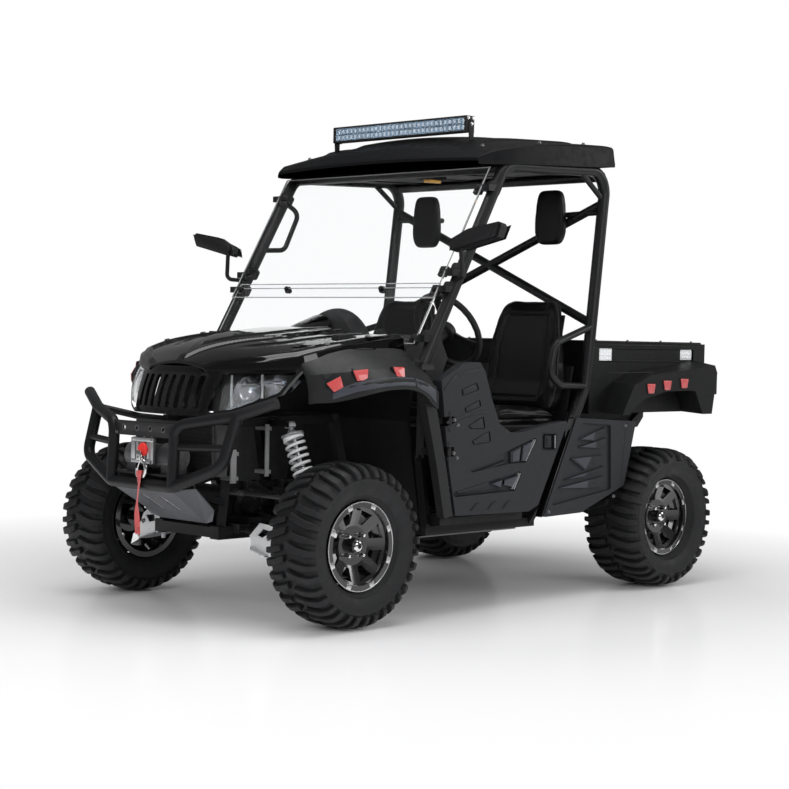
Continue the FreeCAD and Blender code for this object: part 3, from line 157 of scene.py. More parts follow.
def mixShaders(tree, mask, first, second):
    node = tree.nodes.new("ShaderNodeMixShader")
    for socket, source in zip(node.inputs, (mask, first, second)):
        tree.links.new(source, socket)
    return node.outputs[0]


def addFloor():
    bm = bmesh.new()
    bmesh.ops.create_grid(bm, x_segments=2, y_segments=2, size=studio["floorSize"])
    bmesh.ops.translate(bm, verts=bm.verts, vec=(0, 0, -studio["floorDrop"]))
    mesh = bpy.data.meshes.new("floor")
    bm.to_mesh(mesh)
    bm.free()
    floor = bpy.data.objects.new("floor", mesh)
    scene.collection.objects.link(floor)
    material, tree, shader = newMaterial("floorPaint")
    for key, value in studio["floor"].items():
        plug(tree, value, shader.inputs[key])
    # far from the vehicle the camera sees plain white
    where = tree.nodes.new("ShaderNodeTexCoord")
    far = tree.nodes.new("ShaderNodeVectorMath")
    far.operation = "LENGTH"
    tree.links.new(where.outputs["Object"], far.inputs[0])
    ramp = remap(tree, far.outputs["Value"], 0.0, 1.0, studio["fadeStart"], studio["fadeEnd"])
    ray = tree.nodes.new("ShaderNodeLightPath")
    seen = combine(tree, "MAXIMUM", ray.outputs["Is Camera Ray"], ray.outputs["Is Transmission Ray"])
    white = tree.nodes.new("ShaderNodeEmission")
    shown = mixShaders(tree, combine(tree, "MULTIPLY", ramp, seen), shader.outputs["BSDF"], white.outputs[0])
    tree.links.new(shown, tree.nodes["Material Output"].inputs["Surface"])
    mesh.materials.append(material)


def addWorld():
    world = bpy.data.worlds.new("studio")
    scene.world = world
    world.use_nodes = True
    tree = world.node_tree
    tree.nodes.clear()
    out = tree.nodes.new("ShaderNodeOutputWorld")
    ray = tree.nodes.new("ShaderNodeLightPath")

    def backdrop(strength):
        node = tree.nodes.new("ShaderNodeBackground")
        plug(tree, (1, 1, 1), node.inputs["Color"])
        plug(tree, strength, node.inputs["Strength"])
        return node.outputs[0]

    # shiny faces see a dimmer sky than matt ones, and the camera and glass see plain white
    lit = mixShaders(tree, ray.outputs["Is Glossy Ray"], backdrop(studio["world"]),
                     backdrop(studio["glossWorld"]))
    seen = combine(tree, "MAXIMUM", ray.outputs["Is Camera Ray"], ray.outputs["Is Transmission Ray"])
    tree.links.new(mixShaders(tree, seen, lit, backdrop(1)), out.inputs["Surface"])


def addLamps():
    for name, place, aim, size, power in studio["lamps"]:
        data = bpy.data.lights.new(name, "AREA")
        data.shape = "RECTANGLE"
        data.size, data.size_y = size
        data.energy = power
        lamp = bpy.data.objects.new(name, data)
        lamp.matrix_world = placeAt(place, Vector(place) - Vector(aim))
        lamp.visible_glossy = name not in studio["unseen"]
        scene.collection.objects.link(lamp)


addFloor()
addWorld()
addLamps()
print("camera, floor and lights are set")

# shader groups


def newGroup(name, inputs, outputs):
    # every group takes a Vector and gives a Normal, and its other sockets are single values
    tree = bpy.data.node_groups.new(name, "ShaderNodeTree")
    tree.interface.new_socket(name="Vector", in_out="INPUT", socket_type="NodeSocketVector")
    for label, value in inputs.items():
        socket = tree.interface.new_socket(name=label, in_out="INPUT", socket_type="NodeSocketFloat")
        socket.default_value = value
    for label in outputs:
        tree.interface.new_socket(name=label, in_out="OUTPUT", socket_type="NodeSocketFloat")
    tree.interface.new_socket(name="Normal", in_out="OUTPUT", socket_type="NodeSocketVector")
    return tree, tree.nodes.new("NodeGroupInput").outputs, tree.nodes.new("NodeGroupOutput").inputs


def addNoise(tree, source, scale, detail, rough):
    pattern = tree.nodes.new("ShaderNodeTexNoise")
    for key, value in (("Vector", source), ("Scale", scale), ("Detail", detail), ("Roughness", rough)):
        plug(tree, value, pattern.inputs[key])
    return pattern.outputs["Fac"]


def addBump(tree, height, strength, distance=0.001):
    bump = tree.nodes.new("ShaderNodeBump")
    for key, value in (("Height", height), ("Strength", strength), ("Distance", distance)):
        plug(tree, value, bump.inputs[key])
    return bump.outputs[0]


def wearGroup():
    # rubbed edges, smudges and fine grain over a coated or clear face
    tree, given, made = newGroup("wear", {"Blotch Scale": 6.0, "Grain Scale": 900.0, "Rough Low": 0.3,
                                          "Rough High": 0.5, "Depth": 0.1}, ("Rough", "Blotch", "Edge"))
    blotch = addNoise(tree, given["Vector"], given["Blotch Scale"], 5.0, 0.6)
    grain = addNoise(tree, given["Vector"], given["Grain Scale"], 2.0, 0.5)
    shape = tree.nodes.new("ShaderNodeNewGeometry")
    edge = remap(tree, shape.outputs["Pointiness"], 0.0, 1.0, 0.53, 0.62)
    broken = combine(tree, "MULTIPLY", edge, remap(tree, grain, 0.2, 1.0, 0.4, 0.6))
    plug(tree, remap(tree, blotch, given["Rough Low"], given["Rough High"]), made["Rough"])
    plug(tree, blotch, made["Blotch"])
    plug(tree, broken, made["Edge"])
    plug(tree, addBump(tree, grain, given["Depth"]), made["Normal"])
    return tree


def pebbleGroup():
    # pebbled grain of moulded plastic or vinyl: small cells over soft creases
    tree, given, made = newGroup("pebble", {"Scale": 500.0, "Depth": 0.3, "Rough Low": 0.3,
                                            "Rough High": 0.5}, ("Rough", "Cells"))
    cells = tree.nodes.new("ShaderNodeTexVoronoi")
    cells.feature = "SMOOTH_F1"
    plug(tree, given["Vector"], cells.inputs["Vector"])
    plug(tree, given["Scale"], cells.inputs["Scale"])
    creases = addNoise(tree, given["Vector"], 34.0, 5.0, 0.6)
    height = combine(tree, "ADD", cells.outputs["Distance"], combine(tree, "MULTIPLY", creases, 0.8))
    plug(tree, remap(tree, creases, given["Rough Low"], given["Rough High"]), made["Rough"])
    plug(tree, cells.outputs["Distance"], made["Cells"])
    plug(tree, addBump(tree, height, given["Depth"]), made["Normal"])
    return tree


def weaveGroup():
    # over-and-under threads of webbing
    tree, given, made = newGroup("weave", {"Scale": 600.0, "Depth": 0.5}, ("Threads",))
    waves = []
    for direction in ("Y", "Z"):
        wave = tree.nodes.new("ShaderNodeTexWave")
        wave.bands_direction = direction
        for key, value in (("Distortion", 0.4), ("Vector", given["Vector"]), ("Scale", given["Scale"])):
            plug(tree, value, wave.inputs[key])
        waves.append(wave.outputs["Fac"])
    threads = combine(tree, "MULTIPLY", waves[0], waves[1])
    plug(tree, threads, made["Threads"])
    plug(tree, addBump(tree, threads, given["Depth"], 0.0008), made["Normal"])
    return tree


wear = wearGroup()
pebble = pebbleGroup()
weave = weaveGroup()


def placeGroup(tree, group, values, stretch=(1, 1, 1)):
    where = tree.nodes.new("ShaderNodeTexCoord")
    mapping = tree.nodes.new("ShaderNodeMapping")
    mapping.inputs["Scale"].default_value = stretch
    tree.links.new(where.outputs["Object"], mapping.inputs["Vector"])
    node = tree.nodes.new("ShaderNodeGroup")
    node.node_tree = group
    tree.links.new(mapping.outputs[0], node.inputs["Vector"])
    for key, value in values.items():
        node.inputs[key].default_value = value
    return node.outputs


def blendColours(tree, mask, first, second):
    node = tree.nodes.new("ShaderNodeMix")
    node.data_type = "RGBA"
    for index, value in ((0, mask), (6, first), (7, second)):
        plug(tree, value, node.inputs[index])
    return node.outputs[2]


def shaded(colour, share):
    return tuple(c * share for c in colour)


def placeWear(name, rough, grain, depth, blotch, stretch=(1, 1, 1)):
    # a material whose sheen and bumps come from the wear group
    material, tree, shader = newMaterial(name)
    look = placeGroup(tree, wear, {"Blotch Scale": blotch, "Grain Scale": grain, "Rough Low": rough[0],
                                   "Rough High": rough[1], "Depth": depth}, stretch)
    plug(tree, look["Rough"], shader.inputs["Roughness"])
    plug(tree, look["Normal"], shader.inputs["Normal"])
    return material, tree, shader, look


def setPlain(material, shader, plain):
    for key, value in plain.items():
        shader.inputs[key.replace("_", " ")].default_value = value
    return material


def paint(name, colour, worn, rough=(0.3, 0.5), grain=900.0, depth=0.1, blotch=6.0, stretch=(1, 1, 1),
          **plain):
    # a coated or metal surface: smudged sheen, fine grain, and edges rubbed towards a second colour
    material, tree, shader, look = placeWear(name, rough, grain, depth, blotch, stretch)
    base = blendColours(tree, remap(tree, look["Blotch"], 0.0, 1.0), shaded(colour, 0.8), colour)
    plug(tree, blendColours(tree, look["Edge"], base, worn), shader.inputs["Base Color"])
    return setPlain(material, shader, plain)


def moulded(name, colour, rough=(0.4, 0.6), scale=700.0, depth=0.25, light=1.25, **plain):
    # moulded plastic or vinyl with a pebbled skin
    material, tree, shader = newMaterial(name)
    look = placeGroup(tree, pebble, {"Scale": scale, "Depth": depth, "Rough Low": rough[0],
                                     "Rough High": rough[1]})
    plug(tree, blendColours(tree, look["Cells"], colour, shaded(colour, light)), shader.inputs["Base Color"])
    plug(tree, look["Rough"], shader.inputs["Roughness"])
    plug(tree, look["Normal"], shader.inputs["Normal"])
    return setPlain(material, shader, {"Specular_IOR_Level": 0.3, **plain})


def glass(name, colour, rough, ior):
    # clear sheet or lens, with a trace of haze in patches
    material, tree, shader = placeWear(name, (rough, rough + 0.02), 60.0, 0.01, 3.0)[:3]
    plug(tree, colour, shader.inputs["Base Color"])
    return setPlain(material, shader, {"Transmission_Weight": 1, "IOR": ior})


def prisms(name, colour, scale=420.0, depth=0.6):
    # a reflector's face: rows of tiny prisms under a clear skin
    material, tree, shader = newMaterial(name)
    where = tree.nodes.new("ShaderNodeTexCoord")
    cells = tree.nodes.new("ShaderNodeTexVoronoi")
    cells.distance = "MANHATTAN"
    for key, value in (("Vector", where.outputs["Object"]), ("Scale", scale), ("Randomness", 0)):
        plug(tree, value, cells.inputs[key])
    depths = cells.outputs["Distance"]
    pale = tuple(min(1, c * 1.5 + 0.05) for c in colour)
    plug(tree, blendColours(tree, depths, colour, pale), shader.inputs["Base Color"])
    plug(tree, addBump(tree, depths, depth), shader.inputs["Normal"])
    plug(tree, remap(tree, depths, 0.12, 0.3, 0.0, 1.0), shader.inputs["Roughness"])
    return setPlain(material, shader, {"Coat_Weight": 0.8, "Coat_Roughness": 0.04})


def webbing(name, colour):
    material, tree, shader = newMaterial(name)
    look = placeGroup(tree, weave, {"Scale": 600.0, "Depth": 0.7})
    plug(tree, blendColours(tree, look["Threads"], shaded(colour, 0.6), colour), shader.inputs["Base Color"])
    plug(tree, look["Normal"], shader.inputs["Normal"])
    plug(tree, remap(tree, look["Threads"], 0.75, 0.55, 0.0, 1.0), shader.inputs["Roughness"])
    return setPlain(material, shader, {"Sheen_Weight": 0.3})


tubeBlack = paint("tubeBlack", (0.0072, 0.0075, 0.0084), (0.04, 0.04, 0.042), rough=(0.34, 0.46), depth=0.12,
                  grain=1400, Specular_IOR_Level=0.25)
frameBlack = paint("frameBlack", (0.005, 0.005, 0.0055), (0.04, 0.04, 0.04), rough=(0.4, 0.55), depth=0.15,
                   Specular_IOR_Level=0.2)
hoodBlack = paint("hoodBlack", (0.0018, 0.0018, 0.002), (0.012, 0.012, 0.013), rough=(0.045, 0.09), grain=220,
                  depth=0.012, blotch=3.0, Coat_Weight=0.6, Coat_Roughness=0.03, Specular_IOR_Level=0.12)
fenderGrey = moulded("fenderGrey", (0.0095, 0.0098, 0.0105), rough=(0.42, 0.56), scale=900, depth=0.22)
doorGrey = moulded("doorGrey", (0.0125, 0.0132, 0.0155), rough=(0.44, 0.58), scale=900, depth=0.22)
# a lighter copy of the door plastic: painted sheen on tilted door facets, side panel fins and fender flares
paintedSheenGrey = moulded("paintedSheenGrey", (0.034, 0.037, 0.046), rough=(0.4, 0.5), scale=900, depth=0.18)
bedBlack = moulded("bedBlack", (0.0045, 0.0048, 0.0052), rough=(0.4, 0.55), scale=800, depth=0.25,
                   Specular_IOR_Level=0.2)
roofBlack = moulded("roofBlack", (0.0036, 0.0038, 0.0044), rough=(0.38, 0.54), scale=620, depth=0.3,
                    Specular_IOR_Level=0.1)
tubBlack = moulded("tubBlack", (0.005, 0.005, 0.0055), rough=(0.5, 0.65), scale=500, depth=0.3)
dashBlack = moulded("dashBlack", (0.0075, 0.0076, 0.0085), rough=(0.42, 0.58), scale=800, depth=0.3)
vinylBlack = moulded("vinylBlack", (0.0032, 0.0032, 0.0034), rough=(0.28, 0.42), scale=420, depth=0.22,
                     Specular_IOR_Level=0.12)
pipingBlack = moulded("pipingBlack", (0.014, 0.014, 0.015), rough=(0.3, 0.4), scale=900, depth=0.15)
rubberBlack = moulded("rubberBlack", (0.006, 0.006, 0.006), rough=(0.6, 0.75), scale=500, depth=0.3)
tyreRubber = moulded("tyreRubber", (0.0085, 0.0088, 0.0096), rough=(0.5, 0.7), scale=260, depth=0.35,
                     light=1.4)
rimBlack = paint("rimBlack", (0.006, 0.006, 0.0065), (0.03, 0.03, 0.03), rough=(0.1, 0.2), grain=500,
                 depth=0.02, Coat_Weight=0.8, Coat_Roughness=0.06)
machined = paint("machined", (0.62, 0.62, 0.63), (0.75, 0.75, 0.75), rough=(0.2, 0.34), grain=700, depth=0.2,
                 stretch=(1, 0.1, 1), Metallic=1.0)
chrome = paint("chrome", (0.7, 0.7, 0.71), (0.8, 0.8, 0.8), rough=(0.06, 0.14), grain=300, depth=0.02,
               Metallic=1.0)
zinc = paint("zinc", (0.52, 0.53, 0.55), (0.7, 0.7, 0.7), rough=(0.28, 0.45), grain=800, depth=0.2,
             blotch=14.0, Metallic=0.85)
steelDark = paint("steelDark", (0.09, 0.09, 0.095), (0.3, 0.3, 0.3), rough=(0.35, 0.55), grain=600, depth=0.3,
                  Metallic=0.8)
castGrey = paint("castGrey", (0.016, 0.016, 0.017), (0.12, 0.12, 0.12), rough=(0.45, 0.65), grain=420,
                 depth=0.5, Metallic=0.4)
plateGrey = paint("plateGrey", (0.065, 0.07, 0.08), (0.16, 0.16, 0.17), rough=(0.3, 0.42), grain=1200,
                  depth=0.12, Metallic=0.35)
alloyPale = paint("alloyPale", (0.56, 0.57, 0.59), (0.7, 0.7, 0.7), rough=(0.35, 0.5), grain=900, depth=0.15,
                  Metallic=0.2)
springWhite = paint("springWhite", (0.72, 0.73, 0.74), (0.5, 0.5, 0.5), rough=(0.2, 0.32), grain=500,
                    depth=0.06, Coat_Weight=0.4)
redRubber = moulded("redRubber", (0.55, 0.025, 0.02), rough=(0.35, 0.5), scale=300, depth=0.15)
redWebbing = webbing("redWebbing", (0.72, 0.03, 0.03))
blackWebbing = webbing("blackWebbing", (0.02, 0.02, 0.021))
redPrism = prisms("redPrism", (0.3, 0.009, 0.009))
amberPrism = prisms("amberPrism", (0.7, 0.32, 0.03))
silverPrism = prisms("silverPrism", (0.55, 0.56, 0.57), scale=180, depth=1.0)
windowClear = glass("windowClear", (0.97, 0.98, 0.985), rough=0.0, ior=1.12)
lensClear = glass("lensClear", (0.96, 0.97, 0.98), rough=0.0, ior=1.2)
lampRed = glass("lampRed", (0.6, 0.02, 0.02), rough=0.1, ior=1.3)
glowBlue = paint("glowBlue", (0.5, 0.6, 0.7), (0.8, 0.85, 0.9), rough=(0.1, 0.2), grain=200, depth=0.05,
                 Metallic=0.6)
mirrorSilver = paint("mirrorSilver", (0.62, 0.64, 0.66), (0.7, 0.7, 0.7), rough=(0.02, 0.06), grain=200,
                     depth=0.01, Metallic=1.0)
# pale grey for thin strips on the doors: painted glints along edges and a seam
paintedGlintGrey = paint("paintedGlintGrey", (0.16, 0.165, 0.18), (0.3, 0.3, 0.3), rough=(0.25, 0.4), grain=900, depth=0.1)
# a darker copy of the door plastic: painted shade in the door's ridge strips and latch pocket
paintedShadeGrey = moulded("paintedShadeGrey", (0.0065, 0.0067, 0.0075), rough=(0.42, 0.56), scale=900, depth=0.22)
edgeSmoke = paint("edgeSmoke", (0.16, 0.17, 0.18), (0.4, 0.4, 0.4), rough=(0.15, 0.25), grain=600, depth=0.05)
lampSmoke = paint("lampSmoke", (0.022, 0.023, 0.026), (0.08, 0.08, 0.08), rough=(0.12, 0.2), grain=300,
                  depth=0.02, Metallic=0.9)
lampSilver = paint("lampSilver", (0.2, 0.205, 0.22), (0.4, 0.4, 0.4), rough=(0.08, 0.16), grain=300,
                   depth=0.02, Metallic=1.0)
meshBlack = paint("meshBlack", (0.018, 0.018, 0.018), (0.06, 0.06, 0.06), rough=(0.4, 0.55), grain=700,
                  depth=0.3)
displayGrey = paint("displayGrey", (0.05, 0.065, 0.06), (0.08, 0.08, 0.08), rough=(0.12, 0.2), grain=300,
                    depth=0.02)
print("materials are made")

nodeFinishes = (
    (frameBlack, "chassis_frame suspension_arms light_bar hitch_receiver"),
    (tubeBlack, "front_bumper roll_cage"),
    (steelDark, "skid_plate winch tie_rod_left tie_rod_right steering_rack muffler"),
    (plateGrey, "bumper_skid"),
    (chrome, "winch_hook"),
    (redWebbing, "hook_strap"),
    (zinc, "bright_plates shocks"),
    (meshBlack, "radiator"),
    (windowClear, "windshield"),
    (hoodBlack, "hood front_grille"),
    (lensClear, "headlights"),
    (fenderGrey, "front_fenders"),
    (tubBlack, "cabin_tub"),
    (dashBlack, "dashboard mirrors"),
    (rubberBlack, "steering_wheel"),
    (vinylBlack, "seats headrests"),
    (doorGrey, "side_panels door_left door_right"),
    (roofBlack, "roof"),
    (castGrey, "knuckle_left knuckle_right rear_knuckles axles engine"),
    (springWhite, "springs"),
    (bedBlack, "bed tailgate"),
    (lampRed, "tail_lamps"),
    (tyreRubber, "tyre_front_left tyre_front_right tyre_rear_left tyre_rear_right"),
    (rimBlack, "rim_front_left rim_front_right rim_rear_left rim_rear_right"),
)
for finish, names in nodeFinishes:
    for name in names.split():
        for slot in nodes[name].material_slots:
            slot.material = finish
bodyOf = {name: nodes[name]["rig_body"] for name in nodes}
print("CAD nodes have their finishes")

# making pieces


def allOf(bm):
    return bm.verts[:] + bm.edges[:] + bm.faces[:]


def newGrid(columns, rows):
    bm = bmesh.new()
    bmesh.ops.create_grid(bm, x_segments=columns, y_segments=rows, size=1)
    return bm


def joinInto(bm, other):
    # puts a finished shape into another one, and gives its points there
    mesh = bpy.data.meshes.new("joined")
    other.to_mesh(mesh)
    other.free()
    start = len(bm.verts)
    bm.from_mesh(mesh)
    bpy.data.meshes.remove(mesh)
    bm.verts.ensure_lookup_table()
    return bm.verts[start:]


def addPiece(name, bm, material, node, smooth=32, mirrored=False):
    if mirrored:
        bmesh.ops.mirror(bm, geom=allOf(bm), matrix=Matrix.Identity(4), merge_dist=-1, axis="Y")
    bmesh.ops.recalc_face_normals(bm, faces=bm.faces)
    mesh = bpy.data.meshes.new(name)
    bm.to_mesh(mesh)
    bm.free()
    mesh.materials.append(material)
    mesh.shade_smooth()
    mesh.set_sharp_from_angle(angle=radians(smooth))
    piece = bpy.data.objects.new(name, mesh)
    scene.collection.objects.link(piece)
    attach(piece, bodyOf[node])
    return piece


def roundEdges(bm, edges, width, segments=2):
    bmesh.ops.bevel(bm, geom=list(edges), offset=width, offset_type="OFFSET", segments=segments, profile=0.5,
                    affect="EDGES", material=-1, clamp_overlap=True)


def addBlock(bm, low, high, bevel=0.0, segments=2, place=Matrix.Identity(4)):
    low, high = Vector(low), Vector(high)
    shape = place @ Matrix.Translation((low + high) / 2) @ Matrix.Diagonal((*(high - low), 1))
    corners = bmesh.ops.create_cube(bm, size=1, matrix=shape)["verts"]
    if bevel:
        roundEdges(bm, {e for v in corners for e in v.link_edges}, bevel, segments)


def addFacing(bm, x0, x1, boxes, bevel):
    # blocks that share their front and rear, as (y, z) of one corner and (y, z) of the other
    for y0, z0, y1, z1 in boxes:
        addBlock(bm, (x0, y0, z0), (x1, y1, z1), bevel)


def addPlate(bm, outline, depth, bevel=0.0, segments=2):
    # a flat outline pushed along a vector, with its edges rounded
    corners = [bm.verts.new(point) for point in outline]
    face = bm.faces.new(corners)
    pushed = bmesh.ops.extrude_face_region(bm, geom=[face])["geom"]
    moved = [g for g in pushed if isinstance(g, bmesh.types.BMVert)]
    bmesh.ops.translate(bm, verts=moved, vec=depth)
    edges = {e for v in corners + moved for e in v.link_edges}
    if bevel:
        roundEdges(bm, edges, bevel, segments)


def addTurned(bm, profile, place, steps=32, closed=False):
    # profile of (radius, height) turned about the place's Z axis
    verts = [bm.verts.new(place @ Vector((r, 0, h))) for r, h in profile]
    edges = [bm.edges.new(pair) for pair in zip(verts, verts[1:])]
    if closed:
        edges.append(bm.edges.new((verts[-1], verts[0])))
    axis = place.to_3x3() @ Vector((0, 0, 1))
    bmesh.ops.spin(bm, geom=verts + edges, cent=place.translation, axis=axis, angle=2 * pi, steps=steps,
                   use_merge=True)
    bmesh.ops.remove_doubles(bm, verts=bm.verts, dist=0.00001)


def addBolt(bm, point, direction, size=0.007, washer=True):
    place = placeAt(point, direction)
    if washer:
        bmesh.ops.create_cone(bm, cap_ends=True, segments=18, radius1=size * 1.35, radius2=size * 1.25,
                              depth=size * 0.3, matrix=place @ Matrix.Translation((0, 0, size * 0.1)))
    bmesh.ops.create_cone(bm, cap_ends=True, segments=6, radius1=size, radius2=size * 0.9, depth=size * 0.9,
                          matrix=place @ Matrix.Translation((0, 0, size * 0.6)))


def addBolts(name, places, material, node, size=0.007):
    bm = bmesh.new()
    for point, direction in places:
        addBolt(bm, point, direction, size)
    return addPiece(name, bm, material, node)


def addRod(name, points, radius, material, node):
    # a bent round rod along a smooth line
    line = bpy.data.curves.new(name, "CURVE")
    line.dimensions = "3D"
    line.bevel_depth = radius
    line.bevel_resolution = 4
    line.use_fill_caps = True
    spline = line.splines.new("NURBS")
    spline.points.add(len(points) - 1)
    for target, point in zip(spline.points, points):
        target.co = (*point, 1)
    spline.order_u = 3
    spline.use_endpoint_u = True
    spline.resolution_u = 8
    holder = bpy.data.objects.new(name, line)
    mesh = bpy.data.meshes.new_from_object(holder)
    bpy.data.objects.remove(holder)
    bpy.data.curves.remove(line)
    mesh.materials.clear()
    mesh.materials.append(material)
    mesh.shade_smooth()
    piece = bpy.data.objects.new(name, mesh)
    scene.collection.objects.link(piece)
    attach(piece, bodyOf[node])
    return piece


# wheels

wheels = dict(
    radius=0.310, bead=0.0835, steps=84, lugs=18,
    places={"front_left": (0.94, 0.638, 0.1125), "front_right": (0.94, -0.638, 0.1125),
            "rear_left": (-0.98, 0.628, 0.135), "rear_right": (-0.98, -0.628, 0.135)},
)


def carcassProfile(half):
    # (radius, offset) from the middle of the tread out and down to the bead
    return [(0.2925, 0.0), (0.2922, half * 0.3), (0.2905, half * 0.55), (0.2865, half * 0.75),
            (0.279, half * 0.9), (0.266, half * 0.985), (0.255, half * 1.01), (0.2525, half * 1.025),
            (0.2495, half * 1.012), (0.235, half * 1.01), (0.218, half * 0.99), (0.202, half * 0.94),
            (0.192, half * 0.885), (0.1895, half * 0.895), (0.187, half * 0.87),
            (0.178, wheels["bead"] + 0.004), (0.1725, wheels["bead"])]


def alongProfile(profile, distance):
    # point and outward direction at a distance along the carcass from the middle of the tread
    for (r0, y0), (r1, y1) in zip(profile, profile[1:]):
        step = ((r1 - r0) ** 2 + (y1 - y0) ** 2) ** 0.5
        if distance <= step:
            share = distance / step
            normal = Vector((y1 - y0, -(r1 - r0))).normalized()
            return r0 + (r1 - r0) * share, y0 + (y1 - y0) * share, normal
        distance -= step
    return r1, y1, normal


lugShapes = [
    # outline of a lug as (along the tread, across it), and its height
    ([(-0.010, 0.004), (0.016, 0.004), (0.034, 0.050), (0.047, 0.090), (0.047, 0.150), (0.020, 0.150),
      (0.018, 0.098), (0.008, 0.058)], 0.0165),
    ([(-0.044, 0.022), (-0.024, 0.016), (-0.008, 0.060), (-0.002, 0.104), (-0.002, 0.138), (-0.024, 0.138),
      (-0.026, 0.106), (-0.034, 0.068)], 0.0155),
]


def wrapLug(bm, outline, height, profile, reach, side):
    corners = [bm.verts.new((u, min(v, reach), 0)) for u, v in outline]
    base = bm.faces.new(corners)
    pushed = bmesh.ops.extrude_face_region(bm, geom=[base])["geom"]
    top = [g for g in pushed if isinstance(g, bmesh.types.BMVert)]
    bmesh.ops.translate(bm, verts=top, vec=(0, 0, height))
    middle = sum((v.co for v in top), Vector()) / len(top)
    for v in top:
        v.co.x += (middle.x - v.co.x) * 0.12
    crown = {e for v in top for e in v.link_edges if all(w in top for w in e.verts)}
    roundEdges(bm, crown, 0.0022, 1)
    for across in (0.03, 0.05, 0.07, 0.09, 0.105, 0.12, 0.135):
        bmesh.ops.bisect_plane(bm, geom=allOf(bm), plane_co=(0, across, 0), plane_no=(0, 1, 0))
    for v in bm.verts:
        radius, offset, normal = alongProfile(profile, v.co.y)
        lift = v.co.z + 0.0012
        radius += normal.x * lift
        angle = v.co.x / 0.29
        v.co = Vector((radius * sin(angle), side * (offset + normal.y * lift), radius * cos(angle)))


def addTyre(corner):
    x, y, half = wheels["places"][corner]
    profile = carcassProfile(half)
    whole = [(r, -o) for r, o in reversed(profile[1:])] + profile
    bm = bmesh.new()
    addTurned(bm, whole, placeAt((0, 0, 0), (0, 1, 0)), wheels["steps"])
    reach = 0.150 if half > 0.12 else 0.128
    for side in (1, -1):
        for outline, height in lugShapes:
            lug = bmesh.new()
            wrapLug(lug, outline, height, profile, reach, side)
            verts = joinInto(bm, lug)
            bmesh.ops.rotate(bm, verts=verts, cent=(0, 0, 0),
                             matrix=Matrix.Rotation(side * 0.25 * 2 * pi / wheels["lugs"], 3, "Y"))
            parts = verts + list({e for v in verts for e in v.link_edges})
            parts += list({f for v in verts for f in v.link_faces})
            bmesh.ops.spin(bm, geom=parts, cent=(0, 0, 0), axis=(0, 1, 0),
                           angle=2 * pi * (1 - 1 / wheels["lugs"]), steps=wheels["lugs"] - 1,
                           use_duplicate=True)
    bmesh.ops.translate(bm, verts=bm.verts, vec=(x, y, wheels["radius"]))
    tyre = addPiece("tread_" + corner, bm, tyreRubber, "tyre_" + corner, 38)
    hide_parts("tyre_" + corner)


def addWheelTrim(corner):
    x, y = wheels["places"][corner][:2]
    out = 1 if y > 0 else -1
    centre = Vector((x, y, wheels["radius"]))
    node = "rim_" + corner
    hub = placeAt(centre, (0, out, 0))
    lip = bmesh.new()
    addTurned(lip, [(0.1655, 0.0895), (0.1682, 0.0895), (0.1690, 0.0905), (0.1682, 0.0916), (0.1655, 0.0916),
                    (0.1648, 0.0905)], hub, 72, closed=True)
    for i in range(8):
        turn = Matrix.Rotation(2 * pi * (i + 0.5) / 8, 4, "Z")
        addBlock(lip, (-0.0125, 0.1475, 0.079), (0.0125, 0.1668, 0.0922), 0.0015, 2, hub @ turn)
    addPiece("rimPatches_" + corner, lip, machined, node, 40)
    cap = bmesh.new()
    addTurned(cap, [(0.0, 0.0835), (0.012, 0.0830), (0.020, 0.0800), (0.024, 0.0740), (0.0255, 0.066),
                    (0.029, 0.064), (0.029, 0.058)], hub, 32)
    for i in range(4):
        angle = 2 * pi * (i + 0.5) / 4
        spot = hub @ Vector((0.052 * cos(angle), 0.052 * sin(angle), 0))
        nut = placeAt(spot, (0, out, 0))
        addTurned(cap, [(0.0, 0.0735), (0.0045, 0.0725), (0.0075, 0.0695), (0.0085, 0.060), (0.0115, 0.052),
                        (0.0125, 0.044)], nut, 12)
    addPiece("hubCap_" + corner, cap, chrome, node, 40)
    core = bmesh.new()
    addTurned(core, [(0.0, 0.0845), (0.0085, 0.0840), (0.0095, 0.0825), (0.0095, 0.078)], hub, 24)
    for i in range(8):
        turn = Matrix.Rotation(2 * pi * i / 8, 4, "Z")
        addBlock(core, (-0.0018, 0.017, 0.070), (0.0018, 0.0262, 0.0795), 0.0006, 1, hub @ turn)
    stem = placeAt(hub @ Vector((0.0, 0.138, 0.058)), (0, out, 0))
    addTurned(core, [(0.0, 0.026), (0.0035, 0.025), (0.0042, 0.012), (0.006, 0.0)], stem, 12)
    addPiece("hubCore_" + corner, core, rubberBlack, node, 40)


for corner in wheels["places"]:
    addTyre(corner)
    addWheelTrim(corner)
print("wheels are dressed")

# roof and hood skins

trees = {}


def treeOf(name, mesh):
    trees[name] = BVHTree.FromPolygons([v.co for v in mesh.vertices], [p.vertices for p in mesh.polygons])


def hitOn(node, origin, direction):
    # where a straight line first meets a skin or a CAD node, and the way the face looks
    if node not in trees:
        treeOf(node, nodes[node].data)
    for nudge in (0.0, 0.0007, -0.0011):
        # a ray along an edge may slip through, so it is tried again beside it
        start = Vector(origin) + Vector((nudge, nudge * 0.6, nudge * 0.3))
        place, normal = trees[node].ray_cast(start, Vector(direction).normalized())[:2]
        if place is not None:
            break
    return place, normal


def standing(place, facing):
    # a matrix at a place: X level, Z along the way it faces
    level = Vector((0, 0, 1)).cross(facing).normalized()
    return Matrix.Translation(place) @ Matrix((level, facing.cross(level), facing)).transposed().to_4x4()


def faceAt(node, origin, direction):
    # a matrix on a face: X level along it, Y up it, Z out of it
    place, normal = hitOn(node, origin, direction)
    return standing(place, -normal if normal.dot(Vector(direction)) > 0 else normal)


def addPlateOn(bm, place, outline, thickness, bevel=0.001, segments=2):
    depth = place.to_3x3() @ Vector((0, 0, thickness))
    addPlate(bm, [place @ Vector((u, v, 0)) for u, v in outline], depth, bevel, segments)


def oblong(across, up):
    return [(-across, -up), (across, -up), (across, up), (-across, up)]


